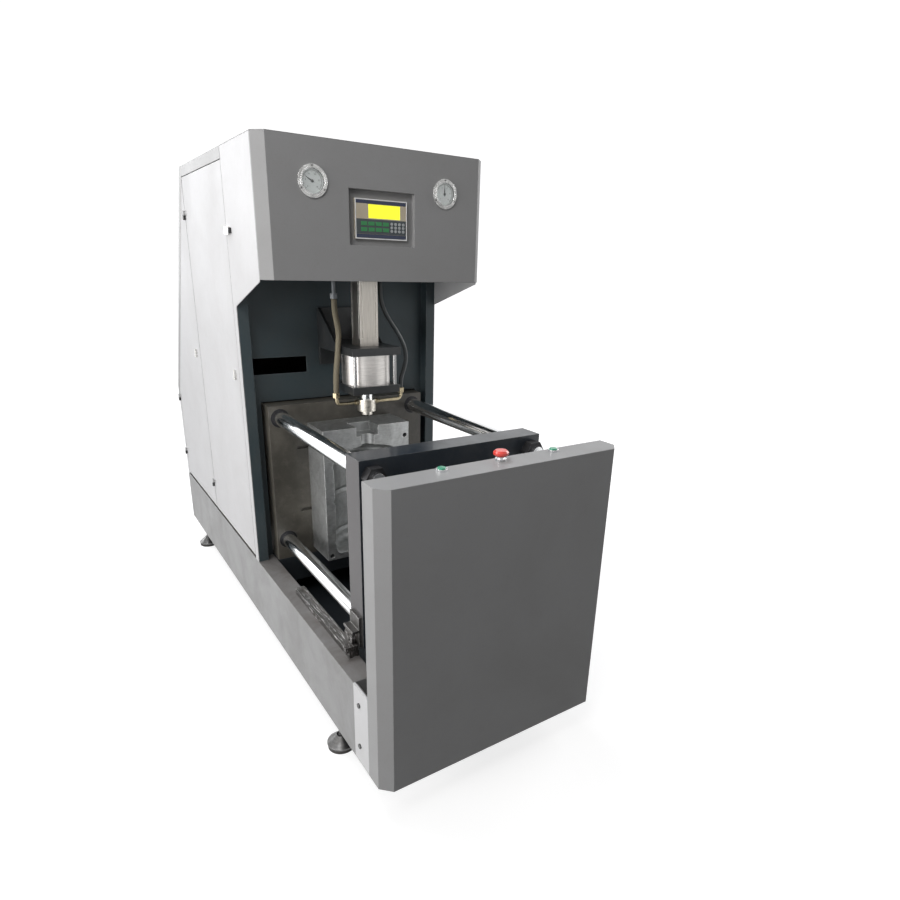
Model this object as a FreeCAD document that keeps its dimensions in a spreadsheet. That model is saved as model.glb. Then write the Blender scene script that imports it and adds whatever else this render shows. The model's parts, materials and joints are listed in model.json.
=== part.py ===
import FreeCAD, Part
import math
import os
import re
import Sketcher

# Semi-automatic stretch blow moulding machine for large bottles, in millimetres.
# The operator stands at the console, on the -Y side.  +Y runs to the rear of the
# cabinet and +Z is up.  The origin lies on the floor, midway along the machine and
# on its centre line.

doc = FreeCAD.newDocument("BlowMouldingMachine")

# ---------------------------------------------------------------------------
# Driving dimensions
# ---------------------------------------------------------------------------

SIZES = {
    # whole machine
    "machine_length": 2208, "body_width": 740, "machine_height": 1719,
    "cover_sheet": 2, "running_gap": 0.3, "seat_gap": 0.5,
    # levelling feet
    "foot_height": 115, "foot_width": 88, "foot_pad": 12, "foot_pad_inset": 2, "foot_skirt": 4,
    "foot_dome": 26, "foot_neck": 30, "foot_stud": 16, "foot_stud_end": 20, "foot_nut": 13,
    "foot_inset": 33,
    "front_foot_setback": 180, "rear_foot_setback": 148,
    # base
    "base_height": 240, "base_wall": 6, "tray_rise": 60, "beam_height": 100,
    "seam_beam": 80,
    # console
    "console_depth": 84, "console_height": 828, "console_gap": 86, "corner_chamfer": 30,
    "cheek_bolt_low": 58, "cheek_bolt_high": 190, "cheek_bolt_setback": 51.6, "cheek_bolt": 7,
    "cheek_bolt_head": 14, "cheek_bolt_depth": 4,
    "button_offset": 174, "button_set": 62, "collar_width": 29, "collar_height": 6,
    "sleeve_width": 25, "sleeve_depth": 24, "button_width": 21, "button_rise": 9,
    "button_crown": 1, "button_travel": 4, "stop_stem_width": 18, "stop_travel": 5, "stop_head_width": 40,
    "stop_head_height": 15, "stop_head_round": 5, "stop_head_gap": 1,
    # cabinet and head
    "head_setback": 690, "head_cover_height": 372, "head_side_drop": 7, "head_lip": 24,
    "head_return": 6, "column_setback": 305, "gusset_start": 40, "gusset_height": 82,
    "post_width": 35, "post_depth": 36, "jamb_depth": 24, "mid_post_front": 20, "mid_post_rear": 45,
    "rail_height": 33, "rail_lift": 8, "partition_setback": 40,
    "door_setback": 343, "seam_setback": 916, "door_sill": 14, "door_depth": 12, "door_gap": 2.5,
    "slope_setback": 933, "slope_foot": 690, "slope_margin": 35, "rear_inset": 8, "rear_strip": 32,
    "top_band": 35,
    "partition_gap": 5, "slot_left": 326, "slot_right": 134, "slot_low": 675, "slot_high": 730,
    "hinge_pin": 4, "hinge_knuckle": 8, "hinge_half": 16, "hinge_stand": 6, "hinge_leaf": 2,
    "hinge_flap": 22,
    "hinge_low": 127, "hinge_high": 1197, "rear_hinge_high": 400,
    "lock_rise": 674, "lock_inset": 42, "rear_lock_inset": 67, "lock_length": 33,
    "lock_width": 16, "lock_grip": 8, "lock_shaft": 10, "lock_cam": 34, "lock_cam_sheet": 3,
    "lock_cam_gap": 1,
    # controls in the head cover
    "gauge_offset": 215, "gauge_drop": 111, "gauge_flange": 85, "gauge_flange_sheet": 4,
    "gauge_bezel": 72, "gauge_bezel_rise": 7, "gauge_back": 68, "gauge_dial": 64,
    "gauge_depth": 30, "gauge_floor": 3, "glass_set": 1,
    "dial_sheet": 1.5, "glass_sheet": 2, "pointer_gap": 1, "pointer_sheet": 1,
    "pointer_length": 26, "pointer_wing": 2.4, "pointer_tail": 7, "pointer_hub": 8,
    "pointer_spindle": 3, "pointer_zero": 135, "left_reading": 75, "right_reading": 135,
    "tray_width": 216, "tray_height": 152, "tray_drop": 119,
    "controller_width": 172, "controller_height": 110, "controller_setback": 9,
    "controller_bezel": 8, "controller_drop": 142, "controller_body": 40,
    "controller_inset": 4, "window_inset": 3,
    "screen_width": 106, "screen_height": 38, "screen_shift": 10, "screen_drop": 14,
    "screen_recess": 3, "screen_set": 1,
    # platens, tie bars and moulds
    "platen_setback": 287, "platen_thickness": 80, "platen_width": 600, "platen_height": 575,
    "moving_width": 592, "moving_rise": 25, "bar_width": 50, "bar_offset": 260, "bar_rise": 75,
    "bar_span": 456, "bar_thread": 36, "bar_end": 42, "bar_nut": 30, "bar_nut_width": 55,
    "bush_wall": 8, "bush_gap": 0.1, "platen_slot": 12, "platen_slot_depth": 10,
    "platen_slot_length": 410, "platen_slot_low": 174, "platen_slot_high": 412,
    "clamp_stroke": 346.5, "parting_gap": 0.5,
    "mould_width": 330, "mould_depth": 145, "mould_rise": 22, "mould_height": 483,
    "cavity_radius": 131, "cavity_floor": 22, "cavity_wall": 343, "shoulder_height": 50,
    "heel_radius": 22, "neck_radius": 25, "notch_width": 84, "notch_depth": 33,
    "ring_swell": 5, "ring_half": 12, "ring_one": 46, "ring_two": 200, "ring_three": 329,
    "guide_width": 16, "guide_length": 22, "guide_relief": 4, "guide_inset": 16,
    # clamp cylinder and crosshead
    "clamp_bore": 200, "clamp_wall": 10, "clamp_cap": 30, "clamp_cap_width": 240,
    "clamp_piston": 40, "clamp_end": 12, "clamp_rod": 60, "clamp_rods": 16, "clamp_rods_inset": 18,
    "crosshead_gap": 25, "crosshead_thickness": 70,
    # track and rollers
    "track_height": 20, "track_width": 30, "track_length": 432,
    "track_stop": 12, "track_stop_rise": 16, "track_stop_width": 40, "track_stop_shift": 6,
    "track_run": 1, "roller_setback": 50, "roller_radius": 25, "roller_width": 16,
    "axle_width": 14, "axle_head": 22, "axle_head_depth": 3, "bracket_length": 58,
    "bracket_height": 95, "bracket_start": 12, "bracket_sheet": 8, "bracket_shelf": 28,
    "bracket_clear": 3,
    # sealing and stretching cylinders
    "nozzle_lift": 45, "nozzle_width": 62, "nozzle_height": 40, "nozzle_lip": 13,
    "nozzle_lip_width": 38, "nozzle_bore": 20, "nozzle_crown": 6, "seal_cap_gap": 32,
    "seal_cap": 25, "seal_cap_rim": 5, "seal_barrel": 100, "seal_barrel_width": 160,
    "seal_bore": 150, "seal_plate": 25, "seal_plate_rim": 2, "seal_piston": 25, "seal_end": 12,
    "seal_rod": 40, "seal_tie_rod": 12, "seal_tie_inset": 8,
    "bracket_flange": 12, "bracket_drop": 60, "bracket_lift": 110, "bracket_web": 10,
    "web_setback": 12,
    "stretch_rod": 12, "stretch_point": 6, "stretch_cone": 5, "stretch_tip_lift": 6,
    "stretch_profile": 65, "stretch_length": 515,
    "stretch_cap": 25, "stretch_bore": 50, "stretch_piston": 20, "stretch_end": 5,
    "profile_slot": 4, "profile_slot_depth": 3, "profile_slot_inset": 6,
    # air lines
    "left_hose": 18, "right_hose": 14, "pipe_width": 11, "pipe_nut": 17, "pipe_nut_length": 11,
    "hose_nut": 21, "hose_nut_length": 16, "drop_width": 13,
    "left_elbow_reach": 110, "left_elbow_bend": 14, "right_elbow_reach": 134,
    "right_elbow_bend": 16, "port_drop": 10, "hose_foot": 82, "left_pipe": 106,
    "right_pipe": 58, "left_hose_head": 385, "right_hose_head": 438, "shelf_sheet": 4,
    "shelf_depth": 140, "shelf_overlap": 15, "valve_width": 62, "valve_shift": 43.4,
    "valve_block": 57.6, "coil_width": 43.4, "coil_height": 38.4, "inlet_rise": 320, "inlet_offset": 180,
    "inlet_bore": 18.6, "inlet_barrel": 26, "inlet_hex": 36, "inlet_nut": 8, "inlet_length": 34,
}


def new_sheet():
    """Write each driving dimension in a row of its own, with its name beside it."""
    sheet = doc.addObject("Spreadsheet::Sheet", "Sizes")
    for row, (word, value) in enumerate(SIZES.items(), start=1):
        sheet.set(f"A{row}", word)
        sheet.set(f"B{row}", str(value))
        sheet.setAlias(f"B{row}", word)
    return sheet


sizes = new_sheet()
places = doc.addObject("App::VarSet", "Places")
doc.recompute()
owners = {word: "Sizes" for word in SIZES}


def rule(text):
    """Put its owner's name before each named size or place of a rule."""
    def with_owner(found):
        word = found[0]
        return f"{owners[word]}.{word}" if word in owners else word
    return re.sub(r"[a-z][a-z_]+", with_owner, str(text))


def place(word, text):
    """Name a place that is worked out from the driving dimensions."""
    places.addProperty("App::PropertyFloat", word)
    places.setExpression(word, rule(text))
    owners[word] = "Places"


# floor, base and console
place("half_width", "body_width / 2")
place("front", "-machine_length / 2")
place("rear", "machine_length / 2")
place("base_bottom", "foot_height")
place("base_top", "foot_height + base_height")
place("console_rear", "front + console_depth")
place("base_front", "console_rear + console_gap")
place("base_length", "rear - base_front")
place("track_offset", "moving_width / 2 + bracket_sheet + roller_width")
place("track_stop_offset", "track_offset + track_stop_shift")
place("ledge_width", "half_width - track_offset + track_width / 2")
place("console_top", "base_bottom + console_height")
place("fold_shift", "cover_sheet * (sqrt(2) - 1)")
# cabinet and head
place("head_front", "front + head_setback")
place("head_bottom", "machine_height - head_cover_height")
place("side_bottom", "head_bottom - head_side_drop")
place("gusset_bottom", "side_bottom - gusset_height")
place("roof", "machine_height - cover_sheet")
place("top_rail", "roof - rail_height")
place("column_front", "head_front + column_setback")
place("post_rear", "column_front + post_depth")
place("door_front", "head_front + door_setback")
place("door_seam", "head_front + seam_setback")
place("door_bottom", "base_top + door_sill")
place("door_top", "machine_height - top_band")
place("post_outside", "half_width - cover_sheet")
place("post_inside", "post_outside - post_width")
place("jamb_outside", "half_width - door_depth - seat_gap")
place("panel_front", "head_front + corner_chamfer + head_return + seat_gap")
place("main_pin", "door_seam - door_gap + seat_gap")
place("rear_door_front", "main_pin + hinge_knuckle / 2 + 2 * seat_gap")
place("rear_face", "rear - rear_inset")
place("rear_hinge", "rear_face - rear_strip")
place("slope_top", "head_front + slope_setback")
place("slope_bottom", "base_bottom + slope_foot")
place("slope_fall", "(machine_height - slope_bottom) / (rear_face - slope_top)")
place("slope_steep", "sqrt(1 + slope_fall ^ 2)")
place("slope_drop", "slope_margin * slope_steep")
place("skin_drop", "cover_sheet * slope_steep")
place("gap_drop", "door_gap * slope_steep")
place("roof_bend", "slope_top - (skin_drop - cover_sheet) / slope_fall")
place("flange_foot", "slope_bottom - slope_drop")
place("partition_front", "column_front + partition_setback")
place("partition_rear", "partition_front + cover_sheet")
# platens, moulds and clamp
place("platen_front", "head_front + platen_setback")
place("platen_rear", "platen_front + platen_thickness")
place("platen_top", "base_top + platen_height")
place("mould_axis", "platen_front - mould_depth")
place("front_parting", "mould_axis - clamp_stroke - parting_gap")
place("moving_rear", "front_parting - mould_depth")
place("moving_front", "moving_rear - platen_thickness")
place("moving_bottom", "base_top + moving_rise")
place("mould_bottom", "base_top + mould_rise")
place("mould_top", "mould_bottom + mould_height")
place("bar_low", "base_top + bar_rise")
place("bar_high", "bar_low + bar_span")
place("clamp_height", "bar_low + bar_span / 2")
place("barrel_start", "platen_rear + clamp_cap")
place("barrel_length", "clamp_stroke + clamp_piston + 2 * clamp_end")
place("clamp_rear", "barrel_start + barrel_length + clamp_cap")
place("crosshead_front", "clamp_rear + crosshead_gap")
place("crosshead_rear", "crosshead_front + crosshead_thickness")
place("roller_y", "moving_front + roller_setback")
place("roller_z", "base_top + track_height + running_gap + roller_radius")
place("rail_front", "head_front + corner_chamfer + 1")
place("dial_front", "head_front + gauge_floor - dial_sheet")
place("track_start", "roller_y - roller_radius - track_stop - track_run")
# sealing and stretching
place("nozzle_tip", "mould_top + nozzle_lift")
place("nozzle_bottom", "nozzle_tip + nozzle_lip")
place("nozzle_top", "nozzle_bottom + nozzle_height")
place("seal_cap_width", "seal_barrel_width + 2 * seal_cap_rim")
place("seal_plate_width", "seal_cap_width + 2 * seal_plate_rim")
place("seal_tie_offset", "seal_barrel_width / 2 - seal_tie_inset")
place("seal_cap_bottom", "nozzle_top + seal_cap_gap")
place("seal_barrel_bottom", "seal_cap_bottom + seal_cap")
place("seal_plate_bottom", "seal_barrel_bottom + seal_barrel")
place("seal_plate_top", "seal_plate_bottom + seal_plate")
place("seal_piston_bottom", "seal_plate_bottom - seal_end - seal_piston")
place("profile_bottom", "seal_plate_top + stretch_cap")
place("profile_top", "profile_bottom + stretch_length")
place("stretch_piston_bottom", "profile_top - stretch_end - stretch_piston")
place("stretch_tip", "nozzle_tip + stretch_tip_lift")
place("port_height", "nozzle_top - port_drop")
place("hose_bottom", "nozzle_tip + hose_foot")
place("shelf_bottom", "side_bottom + rail_lift + rail_height")
# controls
place("gauge_height", "machine_height - gauge_drop")
place("tray_bottom", "machine_height - tray_drop - tray_height")
place("controller_bottom", "machine_height - controller_drop - controller_height")
place("controller_front", "head_front + controller_setback")
place("tray_floor", "controller_front + controller_bezel")
place("screen_bottom", "controller_bottom + controller_height - screen_drop - screen_height")
place("button_y", "front + button_set")
place("left_hose_top", "nozzle_tip + left_hose_head")
place("right_hose_top", "nozzle_tip + right_hose_head")
doc.recompute()

# ---------------------------------------------------------------------------
# Ways of making a piece
# ---------------------------------------------------------------------------

ALONG = {
    "x": FreeCAD.Rotation(FreeCAD.Vector(0, 1, 0), 90),
    "y": FreeCAD.Rotation(FreeCAD.Vector(1, 0, 0), -90),
    "z": FreeCAD.Rotation(),
}
nodes = []


def bind(item, x, y, z, axis="z", **rules):
    """Tie an item's sizes and its place to their rules."""
    item.Placement = FreeCAD.Placement(FreeCAD.Vector(), ALONG[axis])
    for name, text in rules.items():
        item.setExpression(name, rule(text))
    for letter, text in (("x", x), ("y", y), ("z", z)):
        item.setExpression(f"Placement.Base.{letter}", rule(text))
    return item


def box(x, y, z, length, width, height):
    item = doc.addObject("Part::Box", "block")
    return bind(item, x, y, z, Length=length, Width=width, Height=height)


def middle_box(y, z, length, width, height):
    """A block centred on the machine's middle plane."""
    return box(f"-({length}) / 2", y, z, length, width, height)


def rod(x, y, z, radius, length, axis="z"):
    item = doc.addObject("Part::Cylinder", "rod")
    return bind(item, x, y, z, axis, Radius=radius, Height=length)


def cone(x, y, z, radius, end_radius, length, axis="z"):
    item = doc.addObject("Part::Cone", "cone")
    return bind(item, x, y, z, axis, Radius1=radius, Radius2=end_radius, Height=length)


def hexagon(x, y, z, across, length, axis="z"):
    """A hexagon bar, given its size across the flats."""
    item = doc.addObject("Part::Prism", "hexagon")
    item.Polygon = 6
    return bind(item, x, y, z, axis, Circumradius=f"({across}) / sqrt(3)", Height=length)


def torus(x, y, z, ring, radius, axis="z", sector=360):
    item = doc.addObject("Part::Torus", "torus")
    item.Angle3 = sector
    return bind(item, x, y, z, axis, Radius1=ring, Radius2=radius)


def fuse(*items):
    item = doc.addObject("Part::MultiFuse", "fusion")
    item.Shapes = list(items)
    return item


def cut(base, *tools):
    item = doc.addObject("Part::Cut", "cut")
    item.Base = base
    item.Tool = tools[0] if len(tools) == 1 else fuse(*tools)
    return item


def group(*items):
    item = doc.addObject("Part::Compound", "group")
    item.Links = list(items)
    return item


def node(name, item):
    """Name a finished sub-part."""
    item.Label = name
    nodes.append(item)
    return item


def tie_point(sketch, edge, point, x, y):
    """Tie a point of an edge to its distances from the sketch's origin."""
    for kind, text in (("DistanceX", x), ("DistanceY", y)):
        number = sketch.addConstraint(Sketcher.Constraint(kind, -1, 1, edge, point, 1.0))
        sketch.setExpression(f"Constraints[{number}]", rule(text))


def draw_loop(sketch, corners):
    """Draw a closed outline of straight edges through its corners."""
    first = sketch.GeometryCount
    count = len(corners)
    around = [2 * math.pi * number / count for number in range(count + 1)]
    spots = [FreeCAD.Vector(math.cos(turn), math.sin(turn), 0) for turn in around]
    for start, end in zip(spots, spots[1:]):
        sketch.addGeometry(Part.LineSegment(start, end))
    for number in range(count):
        after = first + (number + 1) % count
        sketch.addConstraint(Sketcher.Constraint("Coincident", first + number, 2, after, 1))
    for number, (x, y) in enumerate(corners):
        tie_point(sketch, first + number, 1, x, y)


def draw_circle(sketch, x, y, radius):
    circle = Part.Circle(FreeCAD.Vector(), FreeCAD.Vector(0, 0, 1), 1)
    number = sketch.addGeometry(circle)
    tie_point(sketch, number, 3, x, y)
    size = sketch.addConstraint(Sketcher.Constraint("Radius", number, 1.0))
    sketch.setExpression(f"Constraints[{size}]", rule(radius))


def draw(body, plane, loops, circles=(), lift=0):
    """Draw a profile on one of a body's own planes, lifted along its normal."""
    sketch = body.newObject("Sketcher::SketchObject", "profile")
    found = [item for item in body.Origin.OriginFeatures if item.Role == plane]
    sketch.AttachmentSupport = [(found[0], "")]
    sketch.MapMode = "FlatFace"
    sketch.setExpression("AttachmentOffset.Base.z", rule(lift))
    for corners in loops:
        draw_loop(sketch, corners)
    for circle in circles:
        draw_circle(sketch, *circle)
    return sketch


def new_body(x=0, y=0, z=0):
    return bind(doc.addObject("PartDesign::Body", "body"), x, y, z)


def pad(body, sketch, length, reverse=False):
    feature = body.newObject("PartDesign::Pad", "pad")
    feature.Profile = sketch
    feature.Reversed = reverse
    feature.setExpression("Length", rule(length))
    return feature


def pocket(body, sketch, length, reverse=False):
    feature = body.newObject("PartDesign::Pocket", "pocket")
    feature.Profile = sketch
    feature.Reversed = reverse
    feature.setExpression("Length", rule(length))
    return feature


def rectangle(left, low, right, high):
    return [(left, low), (right, low), (right, high), (left, high)]


def plate(x, y, z, plane, loops, thickness, circles=()):
    """A flat plate cut to an outline: thickness runs up, to the rear or to +X."""
    body = new_body(x, y, z)
    pad(body, draw(body, plane, loops, circles), thickness, reverse=plane == "XZ_Plane")
    return body


# ---------------------------------------------------------------------------
# Base and levelling feet
# ---------------------------------------------------------------------------

FOOT_SPOTS = [
    (f"{side} * (half_width - foot_inset)", spot)
    for side in (-1, 1)
    for spot in ("base_front + front_foot_setback", "rear - rear_foot_setback")
]


def levelling_foot(x, y):
    """A domed foot and its stud, turned from one bar."""
    skirt = rod(x, y, "foot_pad", "foot_width / 2", "foot_skirt")
    dome = cone(x, y, "foot_pad + foot_skirt", "foot_width / 2", "foot_neck / 2", "foot_dome")
    stud_start = "foot_pad + foot_skirt + foot_dome"
    stud = rod(x, y, stud_start, "foot_stud / 2", f"foot_height + foot_stud_end - ({stud_start})")
    return fuse(skirt, dome, stud)


def jam_nut(x, y):
    nut = hexagon(x, y, "base_bottom - foot_nut", "foot_stud * 1.5", "foot_nut")
    return cut(nut, rod(x, y, "base_bottom - foot_nut", "foot_stud / 2 + running_gap", "foot_nut"))


def make_feet():
    feet = [levelling_foot(x, y) for x, y in FOOT_SPOTS]
    nuts = [jam_nut(x, y) for x, y in FOOT_SPOTS]
    pads = [rod(x, y, 0, "foot_width / 2 - foot_pad_inset", "foot_pad") for x, y in FOOT_SPOTS]
    node("levelling_feet", group(*feet, *nuts))
    node("foot_pads", group(*pads))


def side_channel(side):
    """One long side of the base: a folded channel that opens inwards."""
    outer = rectangle("base_front", "base_bottom", "rear", "base_top")
    wall = plate("-half_width" if side < 0 else "half_width - base_wall", 0, 0,
                 "YZ_Plane", [outer], "base_wall")
    left = "-half_width" if side < 0 else "half_width - ledge_width"
    top = box(left, "base_front", "base_top - base_wall", "ledge_width", "base_length", "base_wall")
    flange = box(left, "base_front", "base_bottom", "ledge_width", "base_length", "base_wall")
    return [wall, top, flange]


def cross_beam(y, depth):
    """A hollow beam between the two channels, its top level with the ledges."""
    inside = "body_width - 2 * base_wall"
    low = "base_top - beam_height"
    outer = middle_box(y, low, inside, depth, "beam_height")
    hollow = middle_box(f"{y} + base_wall", f"{low} + base_wall", inside,
                        f"{depth} - 2 * base_wall", "beam_height - 2 * base_wall")
    return cut(outer, hollow)


def make_base():
    parts = side_channel(-1) + side_channel(1)
    inside = "body_width - 2 * base_wall"
    for y in ("base_front", "rear - base_wall"):
        parts.append(middle_box(y, "base_bottom", inside, "base_wall", "base_height"))
    parts.append(cross_beam("platen_front", "platen_thickness"))
    parts.append(cross_beam("door_seam - seam_beam / 2", "seam_beam"))
    parts.append(middle_box("base_front", "base_bottom + tray_rise", inside, "base_length",
                            "cover_sheet"))
    for side in (-1, 1):
        tongue = "-half_width + base_wall" if side < 0 else "half_width - 2 * base_wall"
        parts.append(box(tongue, "console_rear", "base_bottom + base_wall", "base_wall",
                         "console_gap + base_wall", "base_height - 2 * base_wall"))
    holes = [rod(x, y, "base_bottom - base_wall", "foot_stud / 2 + running_gap", "3 * base_wall")
             for x, y in FOOT_SPOTS]
    for side in (-1, 1):
        for height in ("cheek_bolt_low", "cheek_bolt_high"):
            holes.append(rod(f"{side} * half_width - ledge_width / 2",
                             "console_rear + cheek_bolt_setback", f"base_bottom + {height}",
                             "cheek_bolt / 2", "ledge_width", "x"))
    node("base_frame", cut(fuse(*parts), *holes))


# ---------------------------------------------------------------------------
# Console with its buttons
# ---------------------------------------------------------------------------

def folded_front(body, y_front, y_rear, height, lift=0):
    """A front sheet with chamfered corners and two side returns, as one folded piece."""
    corners = [
        ("-half_width", y_rear), ("-half_width", f"{y_front} + corner_chamfer"),
        ("-half_width + corner_chamfer", y_front), ("half_width - corner_chamfer", y_front),
        ("half_width", f"{y_front} + corner_chamfer"), ("half_width", y_rear),
        ("half_width - cover_sheet", y_rear),
        ("half_width - cover_sheet", f"{y_front} + corner_chamfer + fold_shift"),
        ("half_width - corner_chamfer - fold_shift", f"{y_front} + cover_sheet"),
        ("-half_width + corner_chamfer + fold_shift", f"{y_front} + cover_sheet"),
        ("-half_width + cover_sheet", f"{y_front} + corner_chamfer + fold_shift"),
        ("-half_width + cover_sheet", y_rear),
    ]
    return pad(body, draw(body, "XY_Plane", [corners], lift=lift), height)


def chamfered_lid(body, y_front, y_rear, lift, loops=(), circles=()):
    corners = [
        ("-half_width", y_rear), ("-half_width", f"{y_front} + corner_chamfer"),
        ("-half_width + corner_chamfer", y_front), ("half_width - corner_chamfer", y_front),
        ("half_width", f"{y_front} + corner_chamfer"), ("half_width", y_rear),
    ]
    sketch = draw(body, "XY_Plane", [corners, *loops], circles, lift)
    return pad(body, sketch, "cover_sheet")


BUTTON_SPOTS = {"left": "-button_offset", "right": "button_offset"}


def make_console():
    body = new_body(z="base_bottom")
    folded_front(body, "front", "console_rear", "console_height")
    holes = [(x, "button_y", "sleeve_width / 2 + running_gap")
             for x in (0, *BUTTON_SPOTS.values())]
    chamfered_lid(body, "front", "console_rear", "console_height - cover_sheet", circles=holes)
    node("console_cover", body)
    inside = "body_width - 2 * cover_sheet"
    back = middle_box("console_rear - cover_sheet", "base_bottom", inside, "cover_sheet",
                      "console_height - cover_sheet")
    node("console_back", back)

    cheeks, bolts = [], []
    for side in (-1, 1):
        left = "-half_width" if side < 0 else "half_width - base_wall"
        cheek = box(left, "console_rear", "base_bottom", "base_wall", "console_gap", "base_height")
        shanks = []
        for height in ("cheek_bolt_low", "cheek_bolt_high"):
            spot = ("console_rear + cheek_bolt_setback", f"base_bottom + {height}")
            start = f"{side} * half_width - {'base_wall' if side > 0 else 0}"
            shanks.append(rod(start, *spot, "cheek_bolt / 2", "base_wall", "x"))
            head_start = "-half_width - cheek_bolt_depth" if side < 0 else "half_width"
            shank_start = "-half_width" if side < 0 else "half_width - 2 * base_wall"
            head = rod(head_start, *spot, "cheek_bolt_head / 2", "cheek_bolt_depth", "x")
            shank = rod(shank_start, *spot, "cheek_bolt / 2 - running_gap", "2 * base_wall", "x")
            bolts.append(fuse(head, shank))
        cheeks.append(cut(cheek, *shanks))
    node("console_cheeks", group(*cheeks))
    node("cheek_bolts", group(*bolts))


def make_buttons():
    collars = []
    for x in (0, *BUTTON_SPOTS.values()):
        flange = rod(x, "button_y", "console_top", "collar_width / 2", "collar_height")
        sleeve = rod(x, "button_y", "console_top - sleeve_depth", "sleeve_width / 2",
                     "sleeve_depth")
        width = "button_width" if x else "stop_stem_width"
        bore = rod(x, "button_y", "console_top - sleeve_depth", f"{width} / 2 + running_gap",
                   "sleeve_depth + collar_height")
        collars.append(cut(fuse(flange, sleeve), bore))
    node("button_collars", group(*collars))

    for name, x in BUTTON_SPOTS.items():
        plunger = rod(x, "button_y", "console_top - sleeve_depth + button_travel",
                      "button_width / 2",
                      "sleeve_depth - button_travel + button_rise - button_crown")
        crown = cone(x, "button_y", "console_top + button_rise - button_crown",
                     "button_width / 2", "button_width / 2 - button_crown", "button_crown")
        node(f"start_button_{name}", fuse(plunger, crown))

    head_bottom = "console_top + collar_height + stop_travel + stop_head_gap"
    stem_bottom = "console_top - sleeve_depth + stop_travel"
    node("stop_stem", rod(0, "button_y", stem_bottom, "stop_stem_width / 2",
                          f"{head_bottom} - ({stem_bottom})"))
    body = new_body(0, "button_y", head_bottom)
    radius, inner = "stop_head_width / 2", "stop_head_width / 2 - stop_head_round"
    profile = [(0, 0), (inner, 0), (radius, "stop_head_round"),
               (radius, "stop_head_height - stop_head_round"), (inner, "stop_head_height"),
               (0, "stop_head_height")]
    sketch = draw(body, "XZ_Plane", [profile])
    turned = body.newObject("PartDesign::Revolution", "turned")
    turned.Profile = sketch
    turned.ReferenceAxis = (sketch, ["V_Axis"])
    node("stop_head", body)


# ---------------------------------------------------------------------------
# Cabinet frame and its covers
# ---------------------------------------------------------------------------

def low_x(side, outside, width):
    """Where a piece this wide begins, when its outer face lies this far out."""
    return f"-({outside})" if side < 0 else f"{outside} - ({width})"


def slope_line(y, drop):
    """Height of a line that runs under the sloping cover, at this depth below it."""
    return f"machine_height - slope_fall * ({y} - slope_top) - ({drop})"


def frame_side(side):
    """The posts and rails of one side, each cut to butt against the next and welded there."""
    full = low_x(side, "post_outside", "post_width")
    slim_width = "jamb_outside - post_inside"
    slim = low_x(side, "jamb_outside", slim_width)
    mid_front, mid_rear = "door_seam - mid_post_front", "door_seam + mid_post_rear"
    rear_start, slope_rear = "rear_hinge - hinge_leaf * 2", "rear_face - cover_sheet"
    mid_post = [
        (mid_front, "base_top"), (mid_rear, "base_top"),
        (mid_rear, slope_line(mid_rear, "slope_drop")),
        ("roof_bend", slope_line("roof_bend", "slope_drop")),
        ("roof_bend", "top_rail"), (mid_front, "top_rail"),
    ]
    rear_post = [
        (rear_start, "base_top"), (slope_rear, "base_top"),
        (slope_rear, slope_line(slope_rear, "slope_drop")),
        (rear_start, slope_line(rear_start, "slope_drop")),
    ]
    slope_rail = [
        ("roof_bend", "roof"), (slope_rear, slope_line(slope_rear, "skin_drop")),
        (slope_rear, slope_line(slope_rear, "slope_drop")),
        ("roof_bend", slope_line("roof_bend", "slope_drop")),
    ]
    head_run = "column_front - rail_front"
    return [
        box(full, "column_front", "base_top", "post_width", "post_depth", "roof - base_top"),
        box(slim, "post_rear", "base_top", slim_width, "jamb_depth", "top_rail - base_top"),
        plate(slim, 0, 0, "YZ_Plane", [mid_post], slim_width),
        plate(slim, 0, 0, "YZ_Plane", [rear_post], slim_width),
        plate(full, 0, 0, "YZ_Plane", [slope_rail], "post_width"),
        box(full, "rail_front", "top_rail", "post_width", head_run, "rail_height"),
        box(full, "post_rear", "top_rail", "post_width", "roof_bend - post_rear", "rail_height"),
        box(full, "rail_front", "side_bottom + rail_lift", "post_width", head_run, "rail_height"),
    ]


def make_cabinet_frame():
    across = "2 * post_inside"
    behind = "post_rear + jamb_depth - partition_rear"
    cross_rails = [
        ("rail_front", "top_rail", "post_width"),
        ("rail_front", "side_bottom + rail_lift", "post_width"),
        ("partition_rear", "base_top + slot_high + running_gap", behind),
        ("partition_rear", "seal_plate_top + bracket_lift - rail_height", behind),
        ("door_seam - mid_post_front", "top_rail", "mid_post_front"),
        ("rear_hinge", "flange_foot - rail_height", "post_width / 2"),
    ]
    parts = frame_side(-1) + frame_side(1)
    parts += [middle_box(y, z, across, depth, "rail_height") for y, z, depth in cross_rails]
    node("cabinet_frame", group(*parts))


def panel_outline(rear_corners):
    """A side panel's outline: the head, the gusset and the column, then what lies behind."""
    return [
        ("panel_front", "side_bottom"), ("head_front + gusset_start", "side_bottom"),
        ("column_front", "gusset_bottom"), ("column_front", "base_top"), *rear_corners,
        ("panel_front", "roof"),
    ]


def make_side_panels():
    column_edge = "door_front - door_gap"
    left = panel_outline([(column_edge, "base_top"), (column_edge, "roof")])
    node("side_panel_left", plate("-half_width", 0, 0, "YZ_Plane", [left], "cover_sheet"))
    band_end = "slope_top - (slope_drop - top_band) / slope_fall"
    edge = "rear_hinge + hinge_leaf * 2"
    right = panel_outline([
        (edge, "base_top"), (edge, slope_line(edge, "slope_drop + gap_drop")),
        (band_end, "door_top - door_gap"), (column_edge, "door_top - door_gap"),
        (column_edge, "roof"),
    ])
    node("side_panel_right",
         plate("half_width - cover_sheet", 0, 0, "YZ_Plane", [right], "cover_sheet"))


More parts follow.
